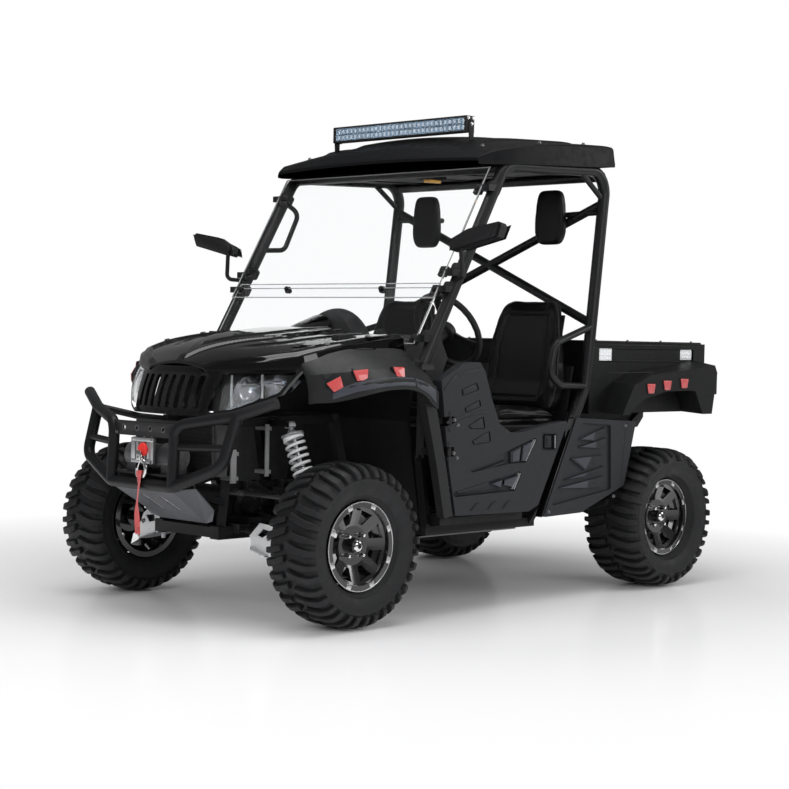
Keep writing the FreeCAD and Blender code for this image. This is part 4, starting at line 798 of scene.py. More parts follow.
def roundSection(radius, wire, count, height=0.0, squash=1.0):
    # section of a ring: points round a wire whose middle is at a radius and a height
    angles = (2 * pi * i / count for i in range(count))
    return [(radius + wire * cos(a), height + wire * squash * sin(a)) for a in angles]


def step(value, low, high):
    share = min(1.0, max(0.0, (value - low) / (high - low)))
    return share * share * (3 - 2 * share)


def rowAt(table, x, smooth=True):
    # the row of a table, sorted by falling first column, at a place between its rows
    x = min(max(x, table[-1][0]), table[0][0])
    i = max(k for k in range(len(table) - 1) if table[k][0] >= x)
    share = (table[i][0] - x) / (table[i][0] - table[i + 1][0])
    before, after = table[max(0, i - 1)], table[min(len(table) - 1, i + 2)]
    row = []
    for k in range(1, len(table[0])):
        a, b = table[i][k], table[i + 1][k]
        if not smooth:
            row.append(a + (b - a) * share)
            continue
        width = table[i][0] - table[i + 1][0]
        start = (b - before[k]) / (before[0] - table[i + 1][0]) * width
        end = (after[k] - a) / (table[i][0] - after[0]) * width
        s, c = share * share, share ** 3
        row.append((2 * c - 3 * s + 1) * a + (c - 2 * s + share) * start + (3 * s - 2 * c) * b
                   + (c - s) * end)
    return row


def skinGrid(table, rows, columns, corner, ends, relief, lift):
    # a crowned lid over sections of (low, side, crown, half): the rim turns down at both sides and ends
    bm = newGrid(rows, columns)
    front, rear = table[0][0], table[-1][0]
    frontEnd, rearEnd = ends
    for v in bm.verts:
        u, t = v.co.x, v.co.y
        x = rear + (front - rear) * min(1, max(0, (u + 1 - rearEnd) / (2 - rearEnd - frontEnd)))
        down = 1.0
        if frontEnd and u > 1 - frontEnd:
            down = (1 - u) / frontEnd
        if rearEnd and u < rearEnd - 1:
            down = (u + 1) / rearEnd
        low, side, crown, half = rowAt(table, x)
        s = abs(t)
        if s > corner:
            drop = (s - corner) / (1 - corner)
            y, z = half - 0.008 * (1 - drop), side + (low - side) * drop
        else:
            y, z = (half - 0.008) * s / corner, side + (crown - side) * (1 - (s / corner) ** 2)
            z += relief(x, y)
        z = low + (z - low) * down
        v.co = Vector((x, y if t > 0 else -y, z + lift(x)))
    return bm


roofSkin = dict(
    wall=0.012,
    # x, low, side, crown, half
    stations=[(0.195, 0.013, 0.029, 0.047, 0.605), (0.130, 0.012, 0.056, 0.102, 0.640),
              (-0.060, 0.017, 0.083, 0.145, 0.662), (-0.420, 0.022, 0.102, 0.148, 0.668),
              (-0.620, 0.027, 0.101, 0.136, 0.660), (-0.650, 0.030, 0.075, 0.106, 0.645)],
    panelHalf=0.285, ridge=(0.430, 0.028),
)


def cageTop(x):
    return 1.799 + 0.04369 * (0.0657 - x)


def roofRelief(x, y):
    r = roofSkin
    length = step(x, -0.615, -0.585) * (1 - step(x, -0.020, 0.030))
    panel = (1 - step(y, r["panelHalf"] - 0.010, r["panelHalf"] + 0.006)) * length * 0.008
    middle, half = r["ridge"]
    ridge = 1 - step(abs(y - middle), half - 0.006, half + 0.008)
    ridge *= step(x, -0.600, -0.575) * (1 - step(x, 0.02, 0.06))
    groove = (1 - step(abs(y - 0.150), 0.006, 0.014)) * step(x, -0.560, -0.535) * (1 - step(x, -0.11, -0.08))
    return panel + ridge * 0.008 - groove * 0.005


def addRoofSkin():
    bm = skinGrid(roofSkin["stations"], 110, 150, 0.90, (0.06, 0.08), roofRelief, cageTop)
    bmesh.ops.solidify(bm, geom=bm.faces[:], thickness=roofSkin["wall"])
    for side in (-1, 1):
        for x in (-0.080, -0.500):
            low, high = sorted((side * 0.606, side * 0.630))
            addBlock(bm, (x, low, cageTop(x) + 0.012), (x + 0.050, high, cageTop(x) + 0.080), 0.002)
    skin = addPiece("roofSkin", bm, roofBlack, "roof", 30)
    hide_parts("roof")
    treeOf("roof", skin.data)
    liner = bmesh.new()
    outline = [(0.050, cageTop(0.050) - 0.006), (-0.600, cageTop(-0.600) - 0.006),
               (-0.600, cageTop(-0.600) - 0.002), (0.050, cageTop(0.050) - 0.002)]
    addPlate(liner, [(x, -0.602, z) for x, z in outline], (0, 1.204, 0), 0.0015)
    for y in (-0.45, -0.15, 0.15, 0.45):
        rib = [(x, z - 0.006) for x, z in outline[:2]] + [(x, z - 0.002) for x, z in outline[2:]]
        addPlate(liner, [(x * 0.96, y - 0.014, z) for x, z in rib], (0, 0.028, 0), 0.0015)
    addPiece("roofLiner", liner, tubBlack, "roof")


hoodSkin = dict(
    wall=0.007,
    # x, low, side, crown, half
    stations=[(1.242, 0.950, 0.957, 0.980, 0.170), (1.200, 0.956, 0.970, 1.000, 0.250),
              (1.120, 0.963, 0.988, 1.034, 0.392), (1.035, 0.972, 1.008, 1.058, 0.485),
              (0.935, 1.008, 1.034, 1.076, 0.520), (0.845, 1.028, 1.052, 1.087, 0.545),
              (0.700, 1.036, 1.074, 1.102, 0.552), (0.552, 1.030, 1.088, 1.110, 0.556)],
    plateau=[(1.242, 0.022), (1.165, 0.034), (0.905, 0.185), (0.720, 0.215), (0.552, 0.205)],
    keel=[(1.242, -0.02), (1.120, 0.0), (1.090, 0.030), (0.900, 0.118), (0.720, 0.135), (0.552, 0.130)],
    shoulder=[(1.242, 0.120), (1.200, 0.190), (1.120, 0.320), (1.035, 0.412), (0.935, 0.448), (0.845, 0.470),
              (0.700, 0.478), (0.552, 0.482)],
    valley=[(1.242, 0.060), (1.120, 0.170), (0.935, 0.310), (0.700, 0.345), (0.552, 0.350)],
)


def hoodRelief(x, y):
    h = hoodSkin
    flat, rib, line, dip = (rowAt(h[key], x, False)[0] for key in ("plateau", "keel", "shoulder", "valley"))
    plateau = 1 - step(y, flat - 0.010, flat + 0.006)
    keel = 1 - step(y, rib - 0.010, rib + 0.004)
    shoulder = step(y, line - 0.006, line + 0.010) * (1 - step(y, line + 0.034, line + 0.060))
    valley = (1 - step(abs(y - dip), 0.020, 0.034)) * (1 - step(x, 1.02, 1.10))
    fade = 1 - step(x, 1.20, 1.24)
    return (0.011 * plateau + 0.007 * keel + 0.011 * shoulder - 0.006 * valley) * fade


def addHoodSkin():
    bm = skinGrid(hoodSkin["stations"], 130, 190, 0.86, (0.05, 0.0), hoodRelief, lambda x: 0.0)
    bmesh.ops.solidify(bm, geom=bm.faces[:], thickness=hoodSkin["wall"])
    skin = addPiece("hoodSkin", bm, hoodBlack, "hood", 30)
    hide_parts("hood")
    treeOf("hood", skin.data)
    scoop = newGrid(30, 48)
    for v in scoop.verts:
        x = 0.690 - 0.200 * (1 - v.co.x) / 2
        half, top = rowAt([(0.690, 0.070, 1.096), (0.600, 0.125, 1.136), (0.490, 0.150, 1.176)], x)
        v.co = Vector((x, half * v.co.y, 1.085 + (top - 1.085) * (1 - abs(v.co.y) ** 2.2)))
    bmesh.ops.solidify(scoop, geom=scoop.faces[:], thickness=0.006)
    foot, high = (0.539 - 0.060 * 0.585 + 0.040, 1.050), (0.539 - 0.250 * 0.585 + 0.040, 1.240)
    slope = Vector((high[0] - foot[0], 0, high[1] - foot[1]))
    cut = bmesh.ops.bisect_plane(scoop, geom=allOf(scoop), plane_co=(foot[0] + 0.018, 0, foot[1]),
                                 plane_no=(-slope.z, 0, slope.x), clear_outer=True)["geom_cut"]
    bmesh.ops.holes_fill(scoop, edges=[g for g in cut if isinstance(g, bmesh.types.BMEdge)], sides=0)
    addPiece("hoodScoop", scoop, hoodBlack, "hood", 30)


addRoofSkin()
addHoodSkin()
print("roof and hood skins are made")

# springs and suspension

springs = dict(
    radius=0.036, wire=0.0062, turns=6.2,
    places=[((0.915, 0.418, 0.470), (0.935, 0.318, 0.742)), ((-1.005, 0.418, 0.480), (-0.975, 0.322, 0.700))],
)


def springStands():
    # foot and direction of the left springs, and their lengths
    for low, high in springs["places"]:
        line = Vector(high) - Vector(low)
        yield placeAt(Vector(low), line), line.length


def addSprings():
    bm = bmesh.new()
    for place, length in springStands():
        axis = place.to_3x3() @ Vector((0, 0, 1))
        start, end = length * 0.2 + 0.0145, length * 0.84 - 0.0065
        steps = int(springs["turns"] * 26)
        ring = place @ Matrix.Translation((springs["radius"], 0, start)) @ Matrix.Rotation(pi / 2, 4, "X")
        verts = bmesh.ops.create_circle(bm, segments=10, radius=springs["wire"], matrix=ring)["verts"]
        edges = list({e for v in verts for e in v.link_edges})
        bmesh.ops.spin(bm, geom=list(verts) + edges, cent=place.translation, axis=axis,
                       angle=2 * pi * springs["turns"], steps=steps, dvec=axis * (end - start) / steps)
        for height in (start - 0.001, end + 0.001):
            around = place @ Matrix.Translation((0, 0, height))
            addTurned(bm, roundSection(springs["radius"], 0.006, 10), around, 36, closed=True)
    bmesh.ops.holes_fill(bm, edges=bm.edges, sides=12)
    coils = addPiece("springCoils", bm, springWhite, "springs", 60, mirrored=True)
    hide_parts("springs")


def addShockTrim():
    bm = bmesh.new()
    dark = bmesh.new()
    for place, length in springStands():
        addTurned(bm, [(0.0175, 0.0), (0.0195, 0.004), (0.0195, length * 0.12), (0.024, length * 0.16),
                       (0.041, length * 0.192), (0.0445, length * 0.195), (0.0455, length * 0.2 + 0.006),
                       (0.043, length * 0.2 + 0.0095), (0.030, length * 0.2 + 0.010)], place, 36)
        addTurned(bm, [(0.012, length * 0.84), (0.044, length * 0.84), (0.0455, length * 0.84 + 0.002),
                       (0.0445, length * 0.84 + 0.010), (0.020, length * 0.84 + 0.013),
                       (0.013, length * 0.93)], place, 36)
        for i in range(5):
            addTurned(dark, [(0.0168, length * (0.28 + 0.03 * i)), (0.019, length * (0.283 + 0.03 * i)),
                             (0.019, length * (0.294 + 0.03 * i)), (0.0168, length * (0.297 + 0.03 * i))],
                      place, 28)
    addPiece("shockCups", bm, zinc, "shocks", mirrored=True)
    addPiece("shockCollars", dark, rubberBlack, "shocks", mirrored=True)


addSprings()
addShockTrim()
print("suspension is dressed")

# nose: bumper, winch, hook, strap, horn, radiator and arm guards

winchSet = dict(drumX=1.330, drumZ=0.616, faceX=1.3965)


def addWinchRope():
    bm = bmesh.new()
    place = placeAt((winchSet["drumX"], 0, winchSet["drumZ"]), (0, 1, 0))
    for layer, radius in enumerate((0.037, 0.0425)):
        for i in range(19 - layer):
            section = roundSection(radius, 0.0038, 6, -0.072 + 0.0075 * i + 0.0037 * layer)
            addTurned(bm, section, place, 30, closed=True)
    addPiece("winchRope", bm, blackWebbing, "winch", 60)


def addFairlead():
    x = winchSet["faceX"]
    bm = bmesh.new()
    addFacing(bm, x, x + 0.004, ((-0.070, 0.672, 0.064, 0.686), (-0.070, 0.590, 0.064, 0.604),
                                 (-0.070, 0.604, -0.046, 0.672), (0.040, 0.604, 0.064, 0.672)), 0.0012)
    for y in (-0.035, 0.030):
        addTurned(bm, [(0.0, -0.034), (0.006, -0.034), (0.0075, -0.030), (0.006, 0.0), (0.0075, 0.030),
                       (0.006, 0.034), (0.0, 0.034)], placeAt((x - 0.002, y, 0.638), (0, 0, 1)), 18)
    addPiece("fairleadFrame", bm, zinc, "winch")
    places = [((x + 0.004, y, z), (1, 0, 0)) for y in (-0.060, 0.054) for z in (0.597, 0.679)]
    addBolts("fairleadBolts", places, chrome, "winch", 0.0045)


def addHook():
    x = 1.4155
    node = "winch_hook"
    shape = [(x, 0.009, 0.628), (x, 0.010, 0.604), (x, 0.034, 0.600), (x, 0.046, 0.572), (x, 0.034, 0.540),
             (x, 0.008, 0.534), (x, -0.012, 0.548), (x, -0.008, 0.572)]
    hook = addRod("hookBow", shape, 0.0078, chrome, node)
    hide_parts("winch_hook")
    addRod("hookLatch", [(x, 0.010, 0.604), (x, 0.0, 0.590), (x, -0.008, 0.566)], 0.0035, chrome, node)
    clevis = bmesh.new()
    for side in (-0.0125, 0.0085):
        outline = ((-0.004, 0.640), (0.022, 0.640), (0.023, 0.604), (-0.003, 0.604))
        addPlate(clevis, [(x + side, y, z) for y, z in outline], (0.004, 0, 0), 0.0012)
    addBolt(clevis, (x + 0.0125, 0.009, 0.613), (1, 0, 0), 0.0055, False)
    addPiece("hookClevis", clevis, chrome, node)
    stop = bmesh.new()
    addTurned(stop, [(0.0, 0.016), (0.018, 0.0155), (0.024, 0.0135), (0.027, 0.009), (0.027, 0.003),
                     (0.025, 0.0), (0.0, 0.0)], placeAt((1.3965, 0.008, 0.642), (1, 0, 0)), 36)
    addPiece("rubberStop", stop, redRubber, node)


def addStrap():
    bm = newGrid(6, 40)
    for v in bm.verts:
        u, share = v.co.x, (1 - v.co.y) / 2
        z = 0.560 - 0.236 * share
        half = 0.0165 - 0.006 * max(0, 1 - abs(share - 0.45) / 0.3)
        twist = 0.45 * sin(pi * min(1, share * 1.5))
        x = 1.4245 + 0.005 * sin(pi * share) + half * u * sin(twist)
        y = 0.012 + 0.006 * sin(2.2 * pi * share) * (1 - share) + half * u * cos(twist)
        v.co = Vector((x, y, z))
    bmesh.ops.solidify(bm, geom=bm.faces[:], thickness=0.0026)
    loop = [(1.4075, 0.560), (1.409, 0.552), (1.4155, 0.5485), (1.424, 0.552), (1.426, 0.560),
            (1.4245, 0.572), (1.4155, 0.577), (1.4075, 0.572)]
    strap = addPiece("strapWeb", bm, redWebbing, "hook_strap", 50)
    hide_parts("hook_strap")
    collar = bmesh.new()
    addPlate(collar, [(px, -0.002, pz - 0.012) for px, pz in loop], (0, 0.026, 0), 0.002)
    addPiece("strapLoop", collar, redWebbing, "hook_strap", 50)
    stitches = bmesh.new()
    for z in (0.535, 0.529, 0.523, 0.517, 0.345, 0.339, 0.333):
        for i in range(5):
            y = 0.006 + 0.0042 * i
            addBlock(stitches, (1.4272, y - 0.0012, z), (1.4282, y + 0.0012, z + 0.001))
    addPiece("strapStitches", stitches, blackWebbing, "hook_strap")


def addBumperBolts():
    plate = [((1.396, y, 0.7), (1, 0, 0)) for y in (-0.168, 0.168)]
    chin = [((1.388, y, 0.4965), (-0.55, 0, 1)) for y in (-0.155, 0.155)]
    chin += [((1.236, y, 0.3935), (-0.55, 0, 1)) for y in (-0.11, 0.11)]
    tray = [((x, y, 0.554), (0, 0, 1)) for x in (1.285, 1.385) for y in (-0.172, 0.172)]
    addBolts("bumperBolts", plate + chin + tray, steelDark, "front_bumper", 0.0065)
    rims = bmesh.new()
    for i in range(4):
        hole = placeAt((1.3955, -0.120 + 0.080 * i, 0.722), (1, 0, 0))
        addTurned(rims, [(0.0085, 0.0), (0.0085, 0.0012), (0.0100, 0.0018), (0.0118, 0.0012), (0.0118, 0.0)],
                  hole, 28, closed=True)
    addPiece("plateHoleRims", rims, steelDark, "front_bumper")
    edges = bmesh.new()
    for y in (-0.070, 0.040):
        path = [(1.362, y, 0.475), (1.344, y + 0.030, 0.463), (1.250, y + 0.044, 0.402),
                (1.262, y + 0.016, 0.409)]
        addPlate(edges, [(px + 0.001, py - 0.004, pz - 0.0015) for px, py, pz in path], (0.0, 0.0035, 0.0),
                 0.0005)
    addPiece("chinSlotEdges", edges, machined, "bumper_skid")


def addHorn():
    bm = bmesh.new()
    place = placeAt((1.238, -0.150, 0.640), (1, 0.1, 0))
    addTurned(bm, [(0.0, 0.030), (0.012, 0.030), (0.016, 0.026), (0.040, 0.022), (0.043, 0.018),
                   (0.043, 0.008), (0.030, 0.0), (0.0, 0.0)], place, 36)
    addPiece("hornBody", bm, steelDark, "radiator")
    ring = bmesh.new()
    addTurned(ring, [(0.0415, 0.0225), (0.0445, 0.0225), (0.0450, 0.0200), (0.0440, 0.0185),
                     (0.0425, 0.0190)], place, 40, closed=True)
    addPiece("hornRing", ring, zinc, "radiator")


def addRadiatorScreen():
    bm = newGrid(28, 12)
    for v in bm.verts:
        v.co = Vector((1.2425, v.co.x * 0.226, 0.645 + v.co.y * 0.094))
    bmesh.ops.poke(bm, faces=bm.faces)
    diamonds = [e for e in bm.edges if abs(e.verts[0].co.y - e.verts[1].co.y) > 0.0001
                and abs(e.verts[0].co.z - e.verts[1].co.z) > 0.0001]
    straight = [e for e in bm.edges if e not in set(diamonds)]
    bmesh.ops.dissolve_edges(bm, edges=[e for e in straight if len(e.link_faces) == 2])
    bmesh.ops.wireframe(bm, faces=bm.faces[:], thickness=0.0022, use_replace=True, use_boundary=True,
                        use_even_offset=True)
    addPiece("radiatorScreen", bm, meshBlack, "radiator", 60)
    frameBars = bmesh.new()
    addFacing(frameBars, 1.240, 1.248, ((-0.235, 0.738, 0.235, 0.748), (-0.235, 0.543, 0.235, 0.552),
                                        (-0.235, 0.552, -0.225, 0.738), (0.225, 0.552, 0.235, 0.738)), 0.0015)
    addPiece("radiatorSurround", frameBars, meshBlack, "radiator")


armGuard = dict(
    # the (y, z) outline and window of the leaning face, and the foot of the lip under it
    face=[(0.272, 0.318), (0.304, 0.368), (0.385, 0.364), (0.402, 0.350), (0.402, 0.299)],
    window=[(0.333, 0.349), (0.386, 0.343), (0.347, 0.317), (0.314, 0.324)],
    foot=[(0.402, 0.2445), (0.290, 0.2785)],
    front=1.090, lean=0.45, bolt=(0.384, 0.318), thick=0.004,
)


def addArmGuards():
    g = armGuard

    def leaning(y, z):
        return Vector((g["front"] - g["lean"] * (z - 0.318), y, z))

    bm = bmesh.new()
    edges = []
    rims = []
    for outline in (g["face"], g["window"]):
        rim = [bm.verts.new(leaning(y, z)) for y, z in outline]
        edges += [bm.edges.new((rim[i], rim[(i + 1) % len(rim)])) for i in range(len(rim))]
        rims.append(rim)
    bmesh.ops.triangle_fill(bm, edges=edges, use_beauty=True)
    foot = [bm.verts.new((g["front"] + 0.004, y, z)) for y, z in g["foot"]]
    bm.faces.new([rims[0][0], rims[0][-1]] + foot)
    bmesh.ops.recalc_face_normals(bm, faces=bm.faces[:])
    bmesh.ops.solidify(bm, geom=bm.faces[:], thickness=g["thick"])
    bmesh.ops.recalc_face_normals(bm, faces=bm.faces[:])
    addPiece("armGuardFaces", bm, alloyPale, "bright_plates", 30, mirrored=True)
    places = [(leaning(*g["bolt"]) * Vector((1, side, 1)), (1, 0, g["lean"])) for side in (1, -1)]
    addBolts("armGuardBolts", places, steelDark, "bright_plates", 0.008)


addWinchRope()
addFairlead()
addHook()
addStrap()
addBumperBolts()
addHorn()
addRadiatorScreen()
addArmGuards()
print("nose hardware is dressed")

# head lamps and grille

headLamp = dict(
    outline=[(0.246, 0.930), (0.330, 0.938), (0.400, 0.941), (0.466, 0.944), (0.434, 0.875), (0.306, 0.818),
             (0.226, 0.797)],
    bowls=[(0.318, 0.880, 0.047), (0.412, 0.908, 0.028)],
)


def addHeadLamps():
    bowl = bmesh.new()
    corners = []
    for y, z in headLamp["outline"]:
        place = hitOn("headlights", (2, y, z), (-1, 0, 0))[0]
        corners.append(bowl.verts.new((place.x - 0.036, y, z)))
    face = bowl.faces.new(corners)
    for inset, back in ((0.006, 0.030), (0.012, 0.018)):
        bmesh.ops.inset_region(bowl, faces=[face], thickness=inset, depth=0.0)
        bmesh.ops.translate(bowl, verts=face.verts, vec=(-back, 0, 0))
    bmesh.ops.triangulate(bowl, faces=[face])
    addPiece("lampHousings", bowl, lampSmoke, "headlights", 12, mirrored=True)
    cups = bmesh.new()
    bulbs = bmesh.new()
    for y, z, radius in headLamp["bowls"]:
        place = hitOn("headlights", (2, y, z), (-1, 0, 0))[0]
        centre = placeAt((place.x - 0.072, y, z), (1, 0.25, 0.02))
        profile = [(radius * share, 0.028 * share ** 2) for share in (0.12, 0.3, 0.5, 0.7, 0.85, 1.0)]
        profile += [(radius * 1.06, 0.0285), (radius * 1.06, 0.020)]
        addTurned(cups, profile, centre, 40)
        addTurned(bulbs, [(0.0, radius * 0.5), (radius * 0.1, radius * 0.48), (radius * 0.15, radius * 0.38),
                          (radius * 0.15, 0.0)], centre, 16)
    addPiece("lampBowls", cups, lampSilver, "headlights", 40, mirrored=True)
    addPiece("lampBulbs", bulbs, glowBlue, "headlights", 40, mirrored=True)
    ribs = bmesh.new()
    for y, low, high in ((0.366, 0.848, 0.936), (0.262, 0.812, 0.930)):
        place = hitOn("headlights", (2, y, 0.88), (-1, 0, 0))[0]
        addBlock(ribs, (place.x - 0.046, y - 0.0018, low), (place.x - 0.036, y + 0.0018, high), 0.0008)
    addPiece("lampDividers", ribs, zinc, "headlights", mirrored=True)


def noseLean(y, z):
    # how far the nose lies back at a height and a distance from the middle
    return 0.42 * (z - 0.80) + 0.55 * abs(y) ** 1.35


def addGrilleScreen():
    bm = newGrid(44, 16)
    for v in bm.verts:
        y, z = v.co.x * 0.208, 0.865 + v.co.y * 0.066
        v.co = Vector((1.262 - noseLean(y, z), y, z))
    bmesh.ops.wireframe(bm, faces=bm.faces[:], thickness=0.002, use_replace=True, use_boundary=True,
                        use_even_offset=True)
    addPiece("grilleScreen", bm, meshBlack, "front_grille", 60)
    backing = newGrid(24, 4)
    for v in backing.verts:
        y, z = v.co.x * 0.222, 0.865 + v.co.y * 0.072
        v.co = Vector((1.236 - noseLean(y, z) + 0.022 * step(abs(y), 0.17, 0.222), y, z))
    bmesh.ops.solidify(backing, geom=backing.faces[:], thickness=0.004)
    addPiece("grilleBacking", backing, frameBlack, "front_grille", 60)


addHeadLamps()
addGrilleScreen()
print("lamps are dressed")

# reflectors and trim on the fenders and the bed

reflectors = dict(
    shape=[(-0.030, 0.021), (0.030, 0.021), (0.020, -0.021), (-0.020, -0.021)],
    front=[((0.975, 0.900, 0.906), 0.5), ((0.903, 0.900, 0.943), 0.12), ((0.745, 0.900, 0.955), 0.0)],
    bed=[(-0.850, 0.886), (-0.971, 0.900), (-1.101, 0.908)],
)


def fenderPlace(origin, tilt):
    spot, normal = hitOn("front_fenders", origin, (0, -1, 0))
    facing = Vector((normal.x * 0.6, abs(normal.y), normal.z * 0.35)).normalized()
    return standing(spot - facing * 0.012, facing) @ Matrix.Rotation(tilt, 4, "Z")


def addReflectors(name, node, places, height):
    # a lens in a bezel at each place, on both sides
    lens = bmesh.new()
    bezel = bmesh.new()
    for place in places:
        addPlateOn(bezel, place, [(u * 1.1, v * 1.13) for u, v in reflectors["shape"]], height, 0.001)
        addPlateOn(lens, place, reflectors["shape"], height + 0.0035, 0.0022, 3)
    addPiece(name + "Reflectors", lens, redPrism, node, mirrored=True)
    addPiece(name + "Bezels", bezel, rubberBlack, node, mirrored=True)


def addBedPatches():
    patch = bmesh.new()
    for x in (-0.682, -1.290):
        place = faceAt("bed", (x, 0.95, 1.040 if x > -1 else 1.048), (0, -1, 0))
        addPlateOn(patch, place, oblong(0.044, 0.036), 0.003, 0.0015)
        for i in range(4):
            for k in range(4):
                spot = place @ Matrix.Translation((-0.030 + 0.020 * i, -0.024 + 0.016 * k, 0.003))
                addTurned(patch, [(0.0, 0.0022), (0.0045, 0.0018), (0.0065, 0.0)], spot, 8)
    addPiece("bedPatches", patch, silverPrism, "bed", mirrored=True)


addReflectors("fender", "front_fenders", [fenderPlace(*spot) for spot in reflectors["front"]], 0.017)
addReflectors("bed", "bed", [faceAt("bed", (x, 0.95, z), (0, -1, 0)) for x, z in reflectors["bed"]], 0.003)
addBedPatches()
print("reflectors are fitted")

# light bar

lightBar = dict(back=0.004, front=0.050, bottom=1.952, top=2.020, half=0.395, columns=30, rows=2)


def addLightBar():
    back, front, bottom, top, half, columns, rows = lightBar.values()
    node = "light_bar"
    shell = bmesh.new()
    addBlock(shell, (back, -half, bottom), (back + 0.026, half, top), 0.002)
    addFacing(shell, back + 0.026, front,
              ((-half, top - 0.007, half, top), (-half, bottom, half, bottom + 0.007),
               (-half, bottom, -half + 0.008, top), (half - 0.008, bottom, half, top)), 0.0015)
    for i in range(6):
        z = bottom + 0.004 + 0.0115 * i
        addBlock(shell, (back - 0.012, -half + 0.004, z), (back + 0.002, half - 0.004, z + 0.003),
                 0.0006, 1)
    for side in (-1, 1):
        y = side * half
        low, high = sorted((y, y + side * 0.006))
        addBlock(shell, (back - 0.004, low, bottom - 0.002), (front + 0.001, high, top), 0.002)
        outline = ((0.008, 1.900), (0.034, 1.900), (0.040, 1.985), (0.030, 2.004), (0.016, 2.004),
                   (0.006, 1.985))
        addPlate(shell, [(x, y + side * 0.0065, z) for x, z in outline], (0, side * 0.004, 0), 0.001)
        low, high = sorted((y + side * 0.004, y + side * 0.030))
        addBlock(shell, (0.002, low, 1.8965), (0.044, high, 1.9015), 0.001)
    housing = addPiece("lightBarHousing", shell, frameBlack, node)
    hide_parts("light_bar")
    addBolts("lightBarBolts", [((0.022, side * (half + 0.0105), 1.986), (0, side, 0)) for side in (-1, 1)] +
             [((0.022, side * (half + 0.021), 1.9015), (0, 0, 1)) for side in (-1, 1)] +
             [((x, side * (half + 0.006), 2.010), (0, side, 0)) for side in (-1, 1) for x in (0.010, 0.040)],
             zinc, node, 0.0055)
    cups = newGrid(columns, rows)
    middle = (top + bottom) / 2
    for v in cups.verts:
        v.co = Vector((front - 0.004, v.co.x * (half - 0.009), middle + v.co.y * 0.0265))
    squares = cups.faces[:]
    bmesh.ops.inset_individual(cups, faces=squares, thickness=0.0012)
    bmesh.ops.inset_individual(cups, faces=squares, thickness=0.0062, depth=-0.012)
    bmesh.ops.inset_individual(cups, faces=squares, thickness=0.0012, depth=0.004)
    addPiece("lightBarCups", cups, glowBlue, node, 20)
    leds = bmesh.new()
    for i in range(columns):
        for k in (-1, 1):
            y = (i + 0.5) / columns * 2 * (half - 0.009) - (half - 0.009)
            spot = placeAt((front - 0.0155, y, middle + k * 0.01325), (1, 0, 0))
            addTurned(leds, [(0.0, 0.0085), (0.0025, 0.0075), (0.0042, 0.0045), (0.0046, 0.0)], spot, 8)
    addPiece("lightBarDiodes", leds, lensClear, node, 60)
    cover = bmesh.new()
    addBlock(cover, (front - 0.0035, -half + 0.007, bottom + 0.006),
             (front - 0.0015, half - 0.007, top - 0.006))
    addPiece("lightBarCover", cover, windowClear, node)


addLightBar()
print("light bar is fitted")

# draped panels


def addDraped(bm, outline, node, way, lift, cuts=(0.03, 0.03), bevel=0.0015):
    # a panel that follows a CAD face: a flat outline, cut into a grid, dropped on it along a direction
    way = Vector(way)
    sink = 0.001
    skin = bmesh.new()
    skin.faces.new([skin.verts.new(point) for point in outline])
    across = [axis for axis in range(3) if abs(way[axis]) < 0.5]
    for axis, gap in zip(across, cuts):
        low, high = min(p[axis] for p in outline), max(p[axis] for p in outline)
        for i in range(1, int((high - low) / gap) + 1):
            normal = Vector((0, 0, 0))
            normal[axis] = 1
            bmesh.ops.bisect_plane(skin, geom=allOf(skin), plane_co=normal * (low + i * gap), plane_no=normal)
    for v in skin.verts:
        v.co = (hitOn(node, v.co, way)[0] or v.co) + way * sink
    pushed = bmesh.ops.extrude_face_region(skin, geom=skin.faces[:])["geom"]
    top = {g for g in pushed if isinstance(g, bmesh.types.BMVert)}
    bmesh.ops.translate(skin, verts=list(top), vec=-way * (lift + sink))
    crown = {f for f in skin.faces if all(v in top for v in f.verts)}
    rim = [e for e in skin.edges if sum(f in crown for f in e.link_faces) == 1]
    roundEdges(skin, rim, bevel)
    joinInto(bm, skin)


def insetOutline(outline, amount):
    # an outline drawn in towards its middle by about the same amount all round
    middle = [sum(p[k] for p in outline) / len(outline) for k in range(len(outline[0]))]
    result = []
    for point in outline:
        reach = sum((a - b) ** 2 for a, b in zip(point, middle)) ** 0.5
        result.append(tuple(b + (a - b) * max(0.1, 1 - amount * 1.35 / reach) for a, b in zip(point, middle)))
    return result


def addSidePlates(bm, shapes, y0, y1, bevel=0.001, segments=2):
    # flat plates on the vehicle's side, from outlines of (x, z)
    for shape in shapes:
        addPlate(bm, [(x, y0, z) for x, z in shape], (0, y1 - y0, 0), bevel, segments)


# doors and side panels

